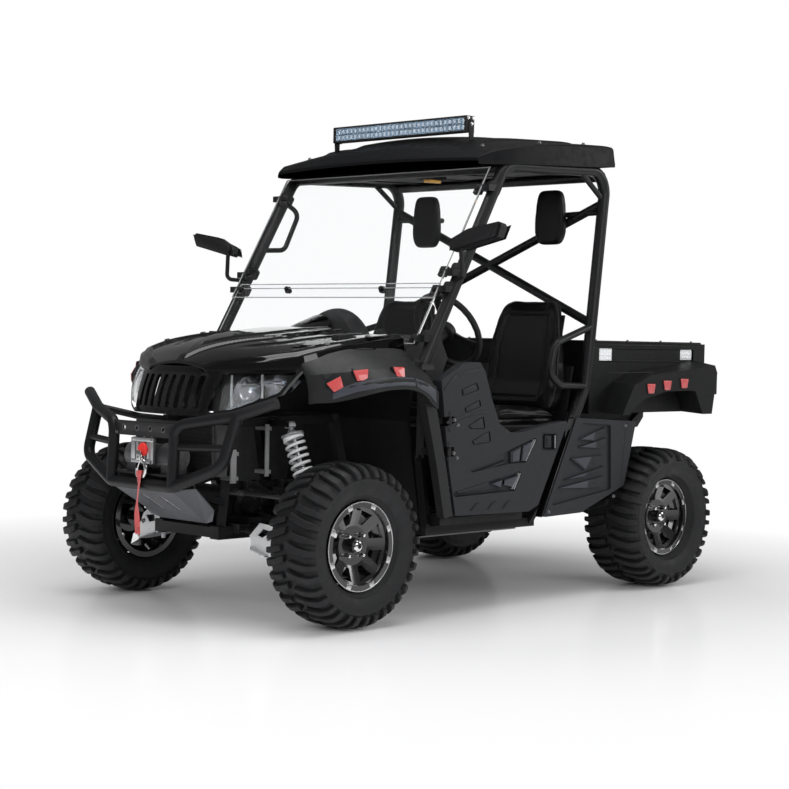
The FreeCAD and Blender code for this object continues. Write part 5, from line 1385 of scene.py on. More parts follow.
doorTrim = dict(
    skin=0.705,
    pockets=[[(0.381, 0.889), (0.289, 0.918), (0.273, 0.887), (0.376, 0.862)],
             [(0.361, 0.816), (0.268, 0.849), (0.258, 0.821), (0.356, 0.796)],
             [(0.339, 0.744), (0.244, 0.784), (0.230, 0.731), (0.324, 0.731)],
             [(0.315, 0.684), (0.204, 0.724), (0.196, 0.677), (0.304, 0.668)]],
    # facets: plates in the lighter grey, painted sheen
    facets=[[(0.058, 0.630), (0.008, 0.648), (0.016, 0.596), (0.056, 0.594)],
            [(-0.010, 0.652), (-0.066, 0.672), (-0.020, 0.600), (-0.004, 0.600)],
            [(0.180, 0.508), (0.118, 0.521), (0.128, 0.493)],
            [(0.104, 0.518), (0.020, 0.534), (0.056, 0.490), (0.106, 0.500)]],
    # ridges: strips set into the door in the darker grey, painted shade
    ridges=[((0.440, 0.556), (0.066, 0.640), 0.004), ((0.436, 0.540), (0.080, 0.612), 0.004),
            ((0.436, 0.524), (0.075, 0.585), 0.0035), ((0.432, 0.505), (0.070, 0.560), 0.0035),
            ((0.430, 0.478), (0.215, 0.508), 0.0035), ((0.425, 0.470), (0.110, 0.481), 0.003)],
    # bright: pale strips, painted glints
    bright=[((-0.094, 0.686), (-0.030, 0.592), 0.003), ((-0.076, 0.680), (-0.012, 0.594), 0.002),
            ((-0.002, 0.551), (0.040, 0.480), 0.003), ((0.012, 0.545), (0.054, 0.482), 0.002)],
    creases=[((0.478, 0.888), (0.411, 0.946), 0.006), ((0.411, 0.946), (0.262, 0.968), 0.006),
             ((0.462, 0.760), (0.328, 0.792), 0.0045), ((0.328, 0.792), (0.222, 0.800), 0.0045),
             ((0.459, 0.742), (0.336, 0.776), 0.0045), ((0.336, 0.776), (0.250, 0.784), 0.0045)],
    vents=[[(0.312, 0.405), (0.261, 0.436), (0.281, 0.432)],
           [(0.210, 0.405), (0.160, 0.437), (0.178, 0.433)],
           [(0.118, 0.404), (0.067, 0.436), (0.084, 0.432)]],
    # fins: plates in the lighter grey, painted sheen; their tails keep the door's own grey
    fins=[[(-0.384, 0.674), (-0.480, 0.702), (-0.472, 0.667)],
          [(-0.384, 0.642), (-0.490, 0.660), (-0.486, 0.633)],
          [(-0.340, 0.592), (-0.462, 0.597), (-0.420, 0.546)],
          [(-0.300, 0.507), (-0.430, 0.530), (-0.414, 0.515)],
          [(-0.246, 0.471), (-0.440, 0.496), (-0.436, 0.465)]],
    finTails=[[(-0.486, 0.704), (-0.552, 0.718), (-0.520, 0.692)],
              [(-0.496, 0.661), (-0.560, 0.672), (-0.530, 0.636)],
              [(-0.468, 0.597), (-0.534, 0.599), (-0.470, 0.570)],
              [(-0.437, 0.531), (-0.546, 0.549), (-0.470, 0.526)],
              [(-0.447, 0.497), (-0.540, 0.508), (-0.526, 0.466)]],
)


def strip(start, end, half):
    # a thin outline along a line from start to end
    start, end = Vector(start), Vector(end)
    side = (end - start).orthogonal().normalized() * half
    return [tuple(start + side), tuple(end + side), tuple(end - side), tuple(start - side)]


def addDoorTrim(side, door):
    t = doorTrim
    face = t["skin"]

    def finish(name, bm, material):
        if side < 0:
            bmesh.ops.scale(bm, verts=bm.verts, vec=(1, -1, 1))
        addPiece(name + door[-5:], bm, material, door)

    dark = bmesh.new()
    addSidePlates(dark, [insetOutline(p, 0.008) for p in t["pockets"]], face - 0.0055, face + 0.0012, 0.002,
                  3)
    addSidePlates(dark, [strip(*line) for line in t["creases"]], face - 0.001, face + 0.0025, 0.0012)
    addSidePlates(dark, t["vents"], face - 0.002, face + 0.005, 0.0018)
    finish("doorPads", dark, doorGrey)
    # strips set into the door in the darker copy of its plastic: painted shade along the ridges
    ridges = bmesh.new()
    addSidePlates(ridges, [strip(*line) for line in t["ridges"]], face - 0.0145, face - 0.009, 0.0012)
    finish("doorShadeRidges", ridges, paintedShadeGrey)
    # facet plates in the lighter copy of the door plastic: painted sheen
    light = bmesh.new()
    addSidePlates(light, t["facets"], face - 0.005, face - 0.0015, 0.0012)
    finish("doorSheenFacets", light, paintedSheenGrey)
    # pale strips along edges and a seam: painted glints
    bright = bmesh.new()
    addSidePlates(bright, [strip(*line) for line in t["bright"]], face - 0.0145, face - 0.004, 0.0008, 1)
    addSidePlates(bright, [strip((-0.213, 0.694), (-0.2145, 0.640), 0.002)], face - 0.006, face - 0.001,
                  0.0006, 1)
    finish("doorGlintStrips", bright, paintedGlintGrey)
    # the latch pocket's rim and the latch in the darker copy of the door plastic: painted shade in and round
    # the pocket
    latch = bmesh.new()
    pocket = [(-0.126, 0.706), (-0.220, 0.703), (-0.222, 0.631), (-0.125, 0.634)]
    rims = [strip(pocket[i], pocket[(i + 1) % 4], 0.0018) for i in range(4)]
    addSidePlates(latch, rims, face - 0.0005, face + 0.001, 0.0006, 1)
    addSidePlates(latch, [[(-0.158, 0.688), (-0.182, 0.687), (-0.183, 0.651), (-0.158, 0.652)]], face - 0.007,
                  face - 0.0035, 0.0015)
    finish("doorLatch", latch, paintedShadeGrey)
    bm = bmesh.new()
    for x, z in ((0.418, 0.640), (0.418, 0.770), (0.398, 0.620), (0.398, 0.750)):
        addBolt(bm, (x, face + 0.0002, z), (0, 1, 0), 0.006)
    finish("doorBolts", bm, steelDark)


def addPanelTrim():
    t = doorTrim
    face = t["skin"]
    # fin plates in the lighter copy of the plastic: painted sheen
    light = bmesh.new()
    addSidePlates(light, t["fins"], face - 0.0015, face + 0.0005, 0.0008, 1)
    addPiece("panelSheenFins", light, paintedSheenGrey, "side_panels", mirrored=True)
    dark = bmesh.new()
    addSidePlates(dark, t["finTails"], face - 0.0015, face + 0.0005, 0.0008, 1)
    addSidePlates(dark, [strip((-0.702, 0.742), (-0.668, 0.486), 0.0015)], face - 0.0005, face + 0.0012,
                  0.0005, 1)
    addPiece("panelFinTails", dark, doorGrey, "side_panels", mirrored=True)
    edge = bmesh.new()
    band = [(-0.3455, 0.766), (-0.3375, 0.764), (-0.1345, 0.356), (-0.1420, 0.354)]
    addSidePlates(edge, [band], 0.668, 0.7035, 0.003, 3)
    addPiece("panelEdge", edge, hoodBlack, "side_panels", mirrored=True)
    bolts = [((x, side * (face + 0.0002), z), (0, side, 0)) for side in (1, -1)
             for x, z in ((-0.690, 0.725), (-0.618, 0.420), (-0.176, 0.376))]
    addBolts("panelBolts", bolts, steelDark, "side_panels", 0.006)


addDoorTrim(1, "door_left")
addDoorTrim(-1, "door_right")
addPanelTrim()
print("doors and side panels are dressed")

# hood and fenders

hoodTrim = dict(
    # outline of (x, y) on the left half
    vent=[(0.790, 0.415), (0.690, 0.425), (0.690, 0.385), (0.780, 0.378)],
)


def addHoodVents():
    vents = bmesh.new()
    addDraped(vents, [(x, y, 1.4) for x, y in hoodTrim["vent"]], "hood", (0, 0, -1), 0.004, bevel=0.001)
    for i in range(5):
        x = 0.702 + 0.018 * i
        far = 0.422 - 0.05 * (x - 0.69)
        bar = [(x, far, 1.4), (x + 0.007, far, 1.4), (x + 0.007, 0.382, 1.4), (x, 0.382, 1.4)]
        addDraped(vents, bar, "hood", (0, 0, -1), 0.009)
    addPiece("hoodVents", vents, rubberBlack, "hood", 25, mirrored=True)


def addHoodFixings():
    bm = bmesh.new()
    for x, y in ((0.700, 0.500), (0.905, 0.485)):
        place = faceAt("hood", (x, y, 1.4), (0, 0, -1))
        addTurned(bm, [(0.0, 0.0055), (0.008, 0.005), (0.0115, 0.003), (0.0125, 0.0)], place, 24)
        addBlock(bm, (-0.006, -0.001, 0.0045), (0.006, 0.001, 0.0062), 0.0004, 1, place)
    addPiece("hoodScrews", bm, steelDark, "hood", mirrored=True)
    latch = bmesh.new()
    place = faceAt("front_fenders", (0.575, 0.640, 1.3), (0, 0, -1))
    addTurned(latch, [(0.0, 0.020), (0.011, 0.019), (0.015, 0.014), (0.016, 0.004), (0.019, 0.0)], place, 28)
    addPiece("hoodKnobs", latch, rubberBlack, "front_fenders", mirrored=True)


fenderTrim = dict(
    # outlines of (x, z) seen from the side, dropped on the flare
    # bands: painted sheen on the flare
    bands=[[(0.985, 0.884), (0.925, 0.918), (0.845, 0.936), (0.760, 0.940), (0.680, 0.936), (0.680, 0.905),
            (0.760, 0.908), (0.845, 0.903), (0.925, 0.884), (0.985, 0.852)],
           [(0.672, 0.935), (0.600, 0.914), (0.555, 0.890), (0.555, 0.838), (0.600, 0.872), (0.672, 0.902)]],
    marks=[(0.992, 0.935), (0.905, 0.962), (0.745, 0.972)],
)


def addFenderTrim():
    # bands draped on the flare in the lighter copy of the plastic: painted sheen where the flare slopes
    # outward
    bands = bmesh.new()
    for shape in fenderTrim["bands"]:
        addDraped(bands, [(x, 0.85, z) for x, z in shape], "front_fenders", (0, -1, 0), 0.003, (0.04, 0.03))
    addPiece("fenderSheenBands", bands, paintedSheenGrey, "front_fenders", 25, mirrored=True)
    marks = bmesh.new()
    for x, z in fenderTrim["marks"]:
        place = faceAt("front_fenders", (x, 0.85, z), (0, -1, 0))
        addPlateOn(marks, place, [(-0.022, 0.012), (0.022, 0.012), (0.008, -0.010), (-0.006, -0.010)], 0.003,
                   0.0012)
    addPiece("fenderMarks", marks, doorGrey, "front_fenders", mirrored=True)


addHoodVents()
addHoodFixings()
addFenderTrim()
print("hood and fenders are dressed")

# seats and headrests

seatSet = dict(
    middle=0.375, half=0.207, frames=20,
    # size of the voxels, pressure, and the most that a point may move
    seatFill=(0.006, 4.0, 0.014), headrestFill=(0.005, 3.0, 0.012),
    # side view of the cushion as (x, underside, top) from the back to the front
    cushion=[(-0.388, 0.708, 0.770), (-0.300, 0.708, 0.781), (-0.200, 0.708, 0.786), (-0.100, 0.710, 0.790),
             (-0.030, 0.713, 0.790), (0.006, 0.728, 0.783), (0.022, 0.748, 0.768)],
    # side view of the back as (z, rear x, front x, half width) from its foot up
    back=[(0.775, -0.388, -0.300, 0.205), (0.907, -0.422, -0.358, 0.210), (1.093, -0.434, -0.387, 0.198),
          (1.180, -0.452, -0.408, 0.176), (1.240, -0.468, -0.424, 0.150), (1.268, -0.470, -0.436, 0.112)],
    channels=(0.128, 0.0035, 0.005),
    cloth=dict(quality=6, mass=0.25, tension_stiffness=40, compression_stiffness=40, shear_stiffness=25,
               bending_stiffness=30, use_pressure=True),
)


def along(table, share):
    # a row between the rows of a table, for a share of its length
    spot = min(max(share, 0.0), 0.9999) * (len(table) - 1)
    low = int(spot)
    return [a + (b - a) * (spot - low) for a, b in zip(table[low], table[low + 1])]


def roundedCube(cuts, power):
    bm = bmesh.new()
    bmesh.ops.create_cube(bm, size=2)
    bmesh.ops.subdivide_edges(bm, edges=bm.edges[:], cuts=cuts, use_grid_fill=True)
    for v in bm.verts:
        reach = (abs(v.co.x) ** power + abs(v.co.y) ** power + abs(v.co.z) ** power) ** (1 / power)
        v.co /= reach
    return bm


def cushionForm():
    # Z of the cube is thickness, X width and Y length
    bm = roundedCube(14, 9)
    s = seatSet
    for v in bm.verts:
        x, low, high = along(s["cushion"], (v.co.y + 1) / 2)
        pull = 1 - 0.025 * (1 - v.co.y ** 2)
        rise = 0.010 * (1 - v.co.y ** 2) * (1 - 0.6 * v.co.x ** 2) if v.co.z > 0 else 0
        bolster = 0.016 * max(0, abs(v.co.x) - 0.62) / 0.38 if v.co.z > 0 else 0
        height = (low + high) / 2 + (high - low) / 2 * v.co.z + rise + bolster
        v.co = Vector((x, s["middle"] + s["half"] * v.co.x * pull, height))
    return bm


def backForm():
    bm = roundedCube(14, 9)
    s = seatSet
    for v in bm.verts:
        z, rear, front, half = along(s["back"], (v.co.y + 1) / 2)
        hollow = 0.010 * (1 - v.co.x ** 2) if v.co.z > 0 else 0
        bolster = 0.014 * max(0, abs(v.co.x) - 0.6) / 0.4 if v.co.z > 0 else 0
        x = (rear + front) / 2 + (front - rear) / 2 * v.co.z - hollow + bolster
        v.co = Vector((x, s["middle"] + half * v.co.x * (1 - 0.02 * (1 - v.co.y ** 2)), z))
    return bm


def headrestForm():
    bm = roundedCube(10, 7)
    table = [(1.512, 0.060), (1.560, 0.078), (1.610, 0.081), (1.690, 0.073), (1.752, 0.062)]
    for v in bm.verts:
        z, half = along(table, (v.co.y + 1) / 2)
        x = -0.547 + 0.024 * v.co.z
        v.co = Vector((x, seatSet["middle"] + half * v.co.x * (1 - 0.02 * (1 - v.co.y ** 2)), z))
    return bm


def solidFrom(name, bm, voxel):
    bmesh.ops.recalc_face_normals(bm, faces=bm.faces)
    mesh = bpy.data.meshes.new(name)
    bm.to_mesh(mesh)
    bm.free()
    piece = bpy.data.objects.new(name, mesh)
    scene.collection.objects.link(piece)
    shape = piece.modifiers.new("voxels", "REMESH")
    shape.mode = "VOXEL"
    shape.voxel_size = voxel
    shape.use_smooth_shade = True
    bakeModifiers(piece)
    return piece


def bakeModifiers(piece):
    ready = piece.evaluated_get(bpy.context.evaluated_depsgraph_get())
    mesh = bpy.data.meshes.new_from_object(ready)
    piece.modifiers.clear()
    old = piece.data
    piece.data = mesh
    bpy.data.meshes.remove(old)


def swell(piece, pressure, cap):
    # the cover fills out under pressure, and no point moves further than the cap
    start = [v.co.copy() for v in piece.data.vertices]
    cloth = piece.modifiers.new("cover", "CLOTH")
    for key, value in seatSet["cloth"].items():
        setattr(cloth.settings, key, value)
    cloth.settings.uniform_pressure_force = pressure
    cloth.settings.effector_weights.gravity = 0
    cloth.point_cache.frame_start = 1
    cloth.point_cache.frame_end = seatSet["frames"]
    for number in range(1, seatSet["frames"] + 1):
        scene.frame_set(number)
    bakeModifiers(piece)
    scene.frame_set(1)
    for v, before in zip(piece.data.vertices, start):
        moved = v.co - before
        if moved.length > cap:
            v.co = before + moved * (cap / moved.length)
    taut = piece.modifiers.new("taut", "SMOOTH")
    taut.factor = 0.5
    taut.iterations = 14
    bakeModifiers(piece)


def smoothOnce(piece):
    soft = piece.modifiers.new("smooth", "SUBSURF")
    soft.levels = 1
    soft.render_levels = 1
    bakeModifiers(piece)


def pressChannels(piece, lines, depth, width):
    # sewn channels: each line is a test giving the distance from a point to the seam, or None
    mesh = piece.data
    normals = [v.normal.copy() for v in mesh.vertices]
    for v, normal in zip(mesh.vertices, normals):
        push = 0.0
        for line in lines:
            gap = line(v.co, normal)
            if gap is not None:
                push = max(push, depth * 2.718 ** (-(gap / width) ** 2))
        if push:
            v.co -= normal * push


def cushionSeams():
    s = seatSet
    edge, depth, width = s["channels"]

    def runs(point, normal):
        if normal.z < 0.35 or not -0.33 < point.x < 0.012:
            return None
        return abs(abs(point.y - s["middle"]) - edge)

    def crossed(point, normal):
        if normal.z < 0.35 or abs(point.y - s["middle"]) > edge:
            return None
        return min(abs(point.x - x) for x in (-0.300, -0.045))

    def waist(point, normal):
        if abs(normal.z) > 0.6:
            return None
        return abs(point.z - 0.757)

    return [runs, crossed, waist], depth, width


def backSeams():
    s = seatSet
    edge, depth, width = s["channels"]

    def runs(point, normal):
        if normal.x < 0.3 or not 0.83 < point.z < 1.215:
            return None
        return abs(abs(point.y - s["middle"]) - edge * (1 - 0.22 * max(0, point.z - 1.06) / 0.2))

    def crossed(point, normal):
        if normal.x < 0.3 or abs(point.y - s["middle"]) > edge:
            return None
        return min(abs(point.z - z) for z in (0.845, 1.205))

    return [runs, crossed], depth, width


def addPad(name, form, fill, node, seams=None):
    voxel, pressure, cap = fill
    piece = solidFrom(name + "Left", form(), voxel)
    swell(piece, pressure, cap)
    smoothOnce(piece)
    if seams:
        pressChannels(piece, *seams())
    piece.data.materials.clear()
    piece.data.materials.append(vinylBlack)
    piece.data.shade_smooth()
    mesh = piece.data.copy()
    for v in mesh.vertices:
        v.co.y = -v.co.y
    mesh.flip_normals()
    other = bpy.data.objects.new(name + "Right", mesh)
    scene.collection.objects.link(other)
    for pad in (piece, other):
        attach(pad, bodyOf[node])
        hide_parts(node)
    treeOf(name, piece.data)


def seatedPath(name, points):
    # a rough path laid on a pad's own face
    runs = [Vector(p) for p in points]
    count = 40
    result = []
    for i in range(count + 1):
        spot = i / count * (len(runs) - 1)
        low = min(int(spot), len(runs) - 2)
        place, normal = trees[name].find_nearest(runs[low].lerp(runs[low + 1], spot - low))[:2]
        result.append(place + normal * 0.0012)
    return result


def addPiping():
    # cords sewn round the cushion and the back
    s = seatSet
    reach = s["half"] - 0.004
    # one half of each cord, from its end to the middle of the pad
    low = [(-0.390, reach, 0.768), (-0.200, reach + 0.004, 0.776), (-0.030, reach, 0.782),
           (0.022, reach - 0.035, 0.766), (0.032, 0, 0.764)]
    rise = [(-0.330, 0.206, 0.800), (-0.374, 0.210, 0.915), (-0.394, 0.198, 1.090), (-0.418, 0.162, 1.215),
            (-0.440, 0.110, 1.270), (-0.444, 0, 1.279)]
    for name, pad, half in (("cushionPiping", "seatCushion", low), ("backPiping", "seatBack", rise)):
        path = [(x, s["middle"] - y, z) for x, y, z in half]
        path += [(x, s["middle"] + y, z) for x, y, z in half[-2::-1]]
        seated = seatedPath(pad, path)
        for side, label in ((1, "Left"), (-1, "Right")):
            addRod(name + label, [(p.x, side * p.y, p.z) for p in seated], 0.0032, pipingBlack, "seats")


def addSeatShells():
    # moulded pans under and behind the pads
    bm = bmesh.new()
    y = seatSet["middle"]
    pan = [(-0.392, 0.704), (0.004, 0.706), (0.020, 0.724), (0.020, 0.734), (-0.392, 0.730)]
    addPlate(bm, [(px, y - 0.205, pz) for px, pz in pan], (0, 0.410, 0), 0.006, 3)
    rear = [(-0.400, 0.775), (-0.391, 0.775), (-0.424, 0.907), (-0.436, 1.093), (-0.458, 1.200),
            (-0.465, 1.200), (-0.443, 1.093), (-0.431, 0.907)]
    addPlate(bm, [(px, y - 0.165, pz) for px, pz in rear], (0, 0.330, 0), 0.003, 2)
    addPiece("seatShells", bm, tubBlack, "seats", mirrored=True)


addPad("seatCushion", cushionForm, seatSet["seatFill"], "seats", cushionSeams)
addPad("seatBack", backForm, seatSet["seatFill"], "seats", backSeams)
addPad("headrestPad", headrestForm, seatSet["headrestFill"], "headrests")
addPiping()
addSeatShells()
print("seats are dressed")

# steering wheel and dash

helm = dict(centre=(0.107, 0.375, 1.123), axis=(-0.871, 0, 0.491), ring=0.162, tube=0.0135)


def addSteeringWheel():
    place = placeAt(helm["centre"], helm["axis"])
    node = "steering_wheel"
    rim = bmesh.new()
    addTurned(rim, roundSection(helm["ring"], helm["tube"], 14, squash=0.92), place, 96, closed=True)
    for v in rim.verts:
        local = place.inverted() @ v.co
        angle = Vector((local.x, local.y)).angle_signed(Vector((1, 0)), 0)
        if local.z < 0:
            v.co = place @ (local + Vector((0, 0, -0.0016 * abs(sin(14 * angle)))))
    ring = addPiece("helmRim", rim, rubberBlack, node, 50)
    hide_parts("steering_wheel")
    spokes = bmesh.new()
    for angle in (pi / 2, pi / 2 + 2 * pi / 3, pi / 2 - 2 * pi / 3):
        turn = place @ Matrix.Rotation(angle, 4, "Z")
        edge = [(0.024, 0.022), (0.075, 0.015), (0.140, 0.020), (0.158, 0.034)]
        outline = edge + [(u, -v) for u, v in reversed(edge)]
        corners = [turn @ Vector((u, v, -0.018 + 0.085 * u)) for u, v in outline]
        depth = turn.to_3x3() @ Vector((0, 0, 0.009))
        addPlate(spokes, corners, depth, 0.003, 3)
    addTurned(spokes, [(0.0, 0.012), (0.026, 0.011), (0.038, 0.006), (0.043, -0.004), (0.043, -0.024),
                       (0.030, -0.032), (0.0, -0.032)], place, 40)
    addPiece("helmSpokes", spokes, dashBlack, node, 40)
    badge = bmesh.new()
    addTurned(badge, [(0.0, 0.0145), (0.020, 0.0140), (0.0235, 0.0125), (0.024, 0.010)], place, 36)
    addPiece("helmCap", badge, steelDark, node, 40)


def addDash():
    node = "dashboard"
    pod = bmesh.new()
    tilt = placeAt((0.278, 0.0, 1.100), (-0.94, 0, 0.34))
    addPlateOn(pod, tilt, oblong(0.040, 0.066), 0.012, 0.006, 3)
    addPiece("podBezel", pod, dashBlack, node)
    face = bmesh.new()
    addPlateOn(face, tilt @ Matrix.Translation((0, 0, 0.0122)), oblong(0.030, 0.054), 0.0012, 0.0005, 1)
    addPiece("podDisplay", face, displayGrey, node)
    parts = bmesh.new()
    for y in (0.150, 0.185, 0.220, -0.080, -0.115):
        place = faceAt("dashboard", (0.1, y, 1.035), (1, 0, 0))
        addPlateOn(parts, place, oblong(0.012, 0.019), 0.004, 0.0015)
        addPlateOn(parts, place @ Matrix.Translation((0, 0, 0.004)) @ Matrix.Rotation(0.12, 4, "X"),
                   oblong(0.009, 0.014), 0.0045, 0.0018)
    for y in (0.270, -0.040):
        place = faceAt("dashboard", (0.1, y, 1.000), (1, 0, 0))
        addTurned(parts, [(0.0, 0.012), (0.010, 0.011), (0.013, 0.006), (0.018, 0.003), (0.019, 0.0)], place,
                  28)
    addPiece("dashSwitches", parts, rubberBlack, node)
    lid = bmesh.new()
    addBlock(lid, (0.2745, -0.455, 0.942), (0.2815, -0.165, 1.048), 0.003, 3)
    addBlock(lid, (0.268, -0.335, 1.020), (0.2755, -0.285, 1.036), 0.0025, 3)
    addPiece("gloveLid", lid, dashBlack, node)
    boot = bmesh.new()
    place = placeAt((0.310, 0.060, 1.015), (-0.8, 0, 0.6))
    addTurned(boot, [(0.0, 0.052), (0.010, 0.050), (0.013, 0.040), (0.022, 0.034), (0.017, 0.026),
                     (0.030, 0.018), (0.024, 0.010), (0.040, 0.0)], place, 32)
    addPiece("shiftBoot", boot, rubberBlack, node, 60)
    lever = [place @ Vector(point) for point in ((0, 0, 0.040), (0, 0, 0.090), (0.004, 0, 0.130))]
    addRod("shiftLever", lever, 0.006, steelDark, node)
    knob = bmesh.new()
    addTurned(knob, [(0.0, 0.168), (0.012, 0.166), (0.020, 0.155), (0.021, 0.142), (0.014, 0.128),
                     (0.010, 0.122)], place, 28)
    addPiece("shiftKnob", knob, rubberBlack, node, 50)


addSteeringWheel()
addDash()
print("steering wheel and dash are dressed")

# mirrors

mirrorSet = dict(
    leaf=[(0.650, 1.430), (0.905, 1.484), (0.930, 1.545), (0.750, 1.518), (0.658, 1.474)],
)


def addMirrors():
    leaf = mirrorSet["leaf"]
    shell = bmesh.new()
    face = bmesh.new()
    low, high = leftBounds("mirrors")
    lift = high.z - 1.545
    inner = insetOutline(leaf, 0.012)
    recess = insetOutline(leaf, 0.024)
    addPlate(shell, [(high.x + 0.0005, y, z + lift) for y, z in inner], (-0.004, 0, 0), 0.0015)
    addPlate(shell, [(high.x + 0.003, y, z + lift) for y, z in recess], (-0.004, 0, 0), 0.0015)
    addPlate(face, [(low.x + 0.001, y, z + lift - 0.004) for y, z in inner], (-0.0025, 0, 0), 0.0006, 1)
    addPiece("mirrorCaps", shell, dashBlack, "mirrors", mirrored=True)
    addPiece("mirrorGlass", face, mirrorSilver, "mirrors", mirrored=True)


def leftBounds(node):
    corners = [v.co for v in nodes[node].data.vertices if v.co.y > 0.02]
    low = Vector(min(c[k] for c in corners) for k in range(3))
    high = Vector(max(c[k] for c in corners) for k in range(3))
    return low, high


addMirrors()
print("mirrors are dressed")

# windshield, cage fittings and roof

cage = dict(foot=0.539, slope=0.585, start=0.990)


def pillarX(z):
    return cage["foot"] - (z - cage["start"]) * cage["slope"]


def addWindshieldTrim():
    node = "windshield"
    edge = bmesh.new()
    normal = Vector((0.863, 0, 0.505))
    for z, offset, half, deep in ((1.306, 0.049, 0.598, 0.004), (1.066, 0.049, 0.598, 0.004),
                                  (1.249, 0.059, 0.608, 0.004), (1.786, 0.059, 0.608, 0.004),
                                  (1.288, 0.049, 0.598, 0.002)):
        x = pillarX(z) + offset
        addBlock(edge, (x - 0.0015, -half, z - 0.002), (x + deep * 0.5, half, z + 0.002), 0.0006, 1)
    addPiece("paneEdges", edge, edgeSmoke, node)
    rails = bmesh.new()
    for z0, z1, offset, half in ((1.066, 1.306, 0.0475, 0.599), (1.249, 1.786, 0.0575, 0.609)):
        for side in (-1, 1):
            foot, head = pillarX(z0) + offset, pillarX(z1) + offset
            path = [(foot, z0), (foot + 0.0055, z0), (head + 0.0055, z1), (head, z1)]
            addPlate(rails, [(x, side * half - 0.0015, z) for x, z in path], (0, 0.003, 0), 0.0005, 1)
    addPiece("paneSides", rails, edgeSmoke, node)
    knobs = bmesh.new()
    for y in (-0.285, 0.285):
        x = pillarX(1.300) + 0.050
        place = placeAt((x, y, 1.280), normal)
        addTurned(knobs, [(0.0, 0.021), (0.008, 0.020), (0.011, 0.015), (0.011, 0.006), (0.016, 0.003),
                          (0.016, 0.0)], place, 28)
        back = placeAt((x - 0.004, y, 1.278), -normal)
        addTurned(knobs, [(0.0, 0.012), (0.009, 0.011), (0.012, 0.004), (0.015, 0.0)], back, 28)
    addPiece("paneKnobs", knobs, rubberBlack, node)
    clamps = bmesh.new()
    for z in (1.090, 1.284, 1.360, 1.700):
        for side in (-1, 1):
            x = pillarX(z)
            place = placeAt((x, side * 0.622, z), (0.505, 0, -0.863))
            addTurned(clamps, [(0.0265, -0.017), (0.0315, -0.017), (0.0325, -0.014), (0.0325, 0.014),
                               (0.0315, 0.017), (0.0265, 0.017)], place, 32, closed=True)
            tab = placeAt((x + 0.048, side * 0.585, z - 0.004), normal)
            addBlock(clamps, (-0.020, -0.022, -0.014), (0.020, 0.022, 0.0045), 0.003, 2, tab)
            addTurned(clamps, [(0.0, 0.016), (0.009, 0.015), (0.012, 0.010), (0.012, 0.004)], tab, 24)
    addPiece("paneClamps", clamps, rubberBlack, node)


def addDomeLamp():
    node = "roof"
    dome = bmesh.new()
    spot = placeAt((-0.043, 0.127, cageTop(-0.043) - 0.005), (0, 0, -1))
    addPlateOn(dome, spot, oblong(0.055, 0.035), 0.030, 0.006, 3)
    addPiece("domeHousing", dome, rubberBlack, node)
    lens = bmesh.new()
    addPlateOn(lens, spot @ Matrix.Translation((0, 0, 0.029)), oblong(0.035, 0.022), 0.014, 0.005, 3)
    addPiece("domeLens", lens, amberPrism, node)


roofBolts = [(0.080, 0.520), (-0.200, 0.590), (-0.500, 0.585)]


def addRoofBolts():
    bolts = bmesh.new()
    for x, y in roofBolts:
        for side in (-1, 1):
            place, normal = hitOn("roof", (x, y * side, 2.2), (0, 0, -1))
            addBolt(bolts, place, normal, 0.007)
    addPiece("roofBolts", bolts, steelDark, "roof")


addWindshieldTrim()
addDomeLamp()
addRoofBolts()
print("windshield and roof are dressed")

# bed and tailgate

bedTrim = dict(slats=7)


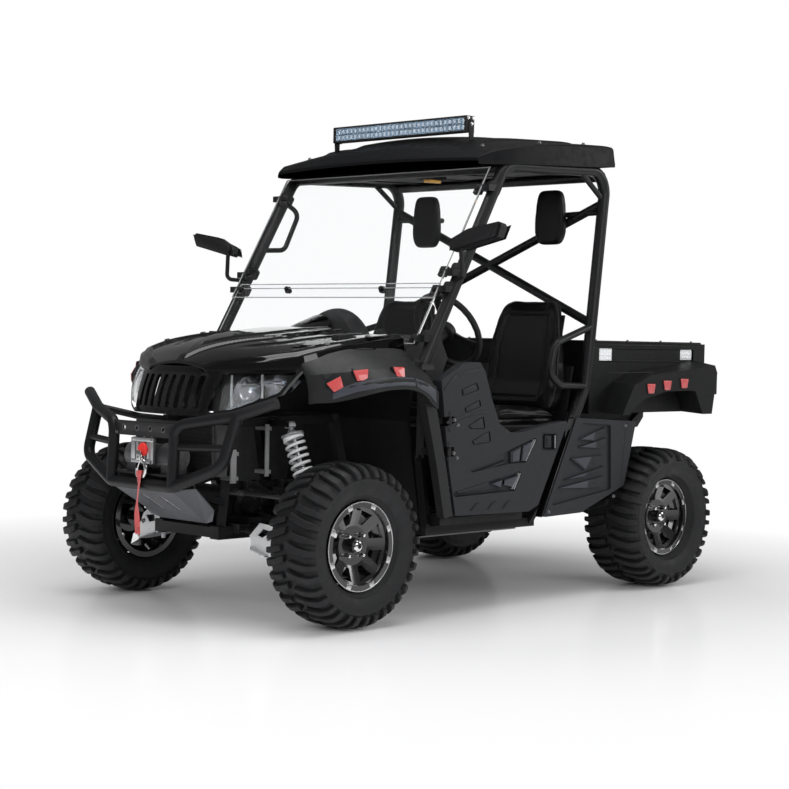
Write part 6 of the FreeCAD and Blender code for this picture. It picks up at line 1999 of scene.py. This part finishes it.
def addBedTrim():
    node = "bed"
    ribs = bmesh.new()
    for z, height in ((1.074, 0.004), (1.004, 0.003), (0.955, 0.003)):
        place = hitOn("bed", (-0.9, 0.9, z), (0, -1, 0))[0]
        addBlock(ribs, (-1.385, place.y - 0.001, z - height), (-0.585, place.y + 0.0035, z + height), 0.0018,
                 2)
    addPiece("bedRibs", ribs, bedBlack, node, mirrored=True)
    cap = bmesh.new()
    for side in (-1, 1):
        y = side * 0.586
        low, high = sorted((y - side * 0.020, y + side * 0.018))
        addBlock(cap, (-1.398, low, 1.084), (-0.570, high, 1.094), 0.004, 3)
    addBlock(cap, (-0.592, -0.586, 1.084), (-0.562, 0.586, 1.094), 0.004, 3)
    addPiece("bedRimCap", cap, bedBlack, node)
    bolts = [((x, side * 0.586, 1.0935), (0, 0, 1)) for side in (-1, 1) for x in (-0.62, -0.85, -1.10, -1.34)]
    addBolts("bedRimBolts", bolts, steelDark, node, 0.0055)
    floor = bmesh.new()
    for i in range(bedTrim["slats"]):
        y = -0.480 + 0.160 * i
        addBlock(floor, (-1.385, y - 0.022, 0.7865), (-0.610, y + 0.022, 0.7935), 0.003, 2)
    addPiece("bedFloorRibs", floor, bedBlack, node)
    hooks = bmesh.new()
    for x in (-0.700, -1.250):
        for side in (-1, 1):
            place = placeAt((x, side * 0.571, 1.050), (0, -side, 0))
            addTurned(hooks, [(0.0, 0.004), (0.018, 0.004), (0.021, 0.0)], place, 24)
            ring = placeAt((x, side * 0.561, 1.046), (1, 0, 0))
            addTurned(hooks, roundSection(0.013, 0.003, 8), ring, 28, closed=True)
    addPiece("bedTieRings", hooks, zinc, node)


def addTailgateTrim():
    node = "tailgate"
    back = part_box("tailgate")[0][0]
    ribs = bmesh.new()
    for y0, y1 in ((-0.540, -0.200), (-0.170, 0.170), (0.200, 0.540)):
        addBlock(ribs, (back - 0.0015, y0, 0.830), (back + 0.001, y1, 1.020), 0.001, 2)
    addPiece("tailgateRibs", ribs, bedBlack, node)
    handle = bmesh.new()
    addBlock(handle, (back - 0.0025, -0.085, 1.034), (back + 0.002, 0.085, 1.072), 0.002, 3)
    addPiece("tailgateHandle", handle, rubberBlack, node)


def addTailLampTrim():
    node = "tail_lamps"
    bezel = bmesh.new()
    core = bmesh.new()
    for side in (-1, 1):
        for low, high in ((0.616, 0.626), (0.696, 0.706)):
            y0, y1 = sorted((side * low, side * high))
            addBlock(bezel, (-1.386, y0, 0.858), (-1.350, y1, 0.944), 0.002)
        y0, y1 = sorted((side * 0.616, side * 0.706))
        for z0, z1 in ((0.856, 0.864), (0.938, 0.946)):
            addBlock(bezel, (-1.386, y0, z0), (-1.350, y1, z1), 0.002)
        for z, radius in ((0.922, 0.012), (0.882, 0.014)):
            spot = placeAt((-1.352, side * 0.661, z), (-1, 0, 0))
            addTurned(core, [(0.0, 0.006), (radius * 0.6, 0.004), (radius, 0.0)], spot, 24)
    addPiece("tailLampBezels", bezel, rubberBlack, node)
    addPiece("tailLampCores", core, chrome, node)


addBedTrim()
addTailgateTrim()
addTailLampTrim()
print("bed is dressed")
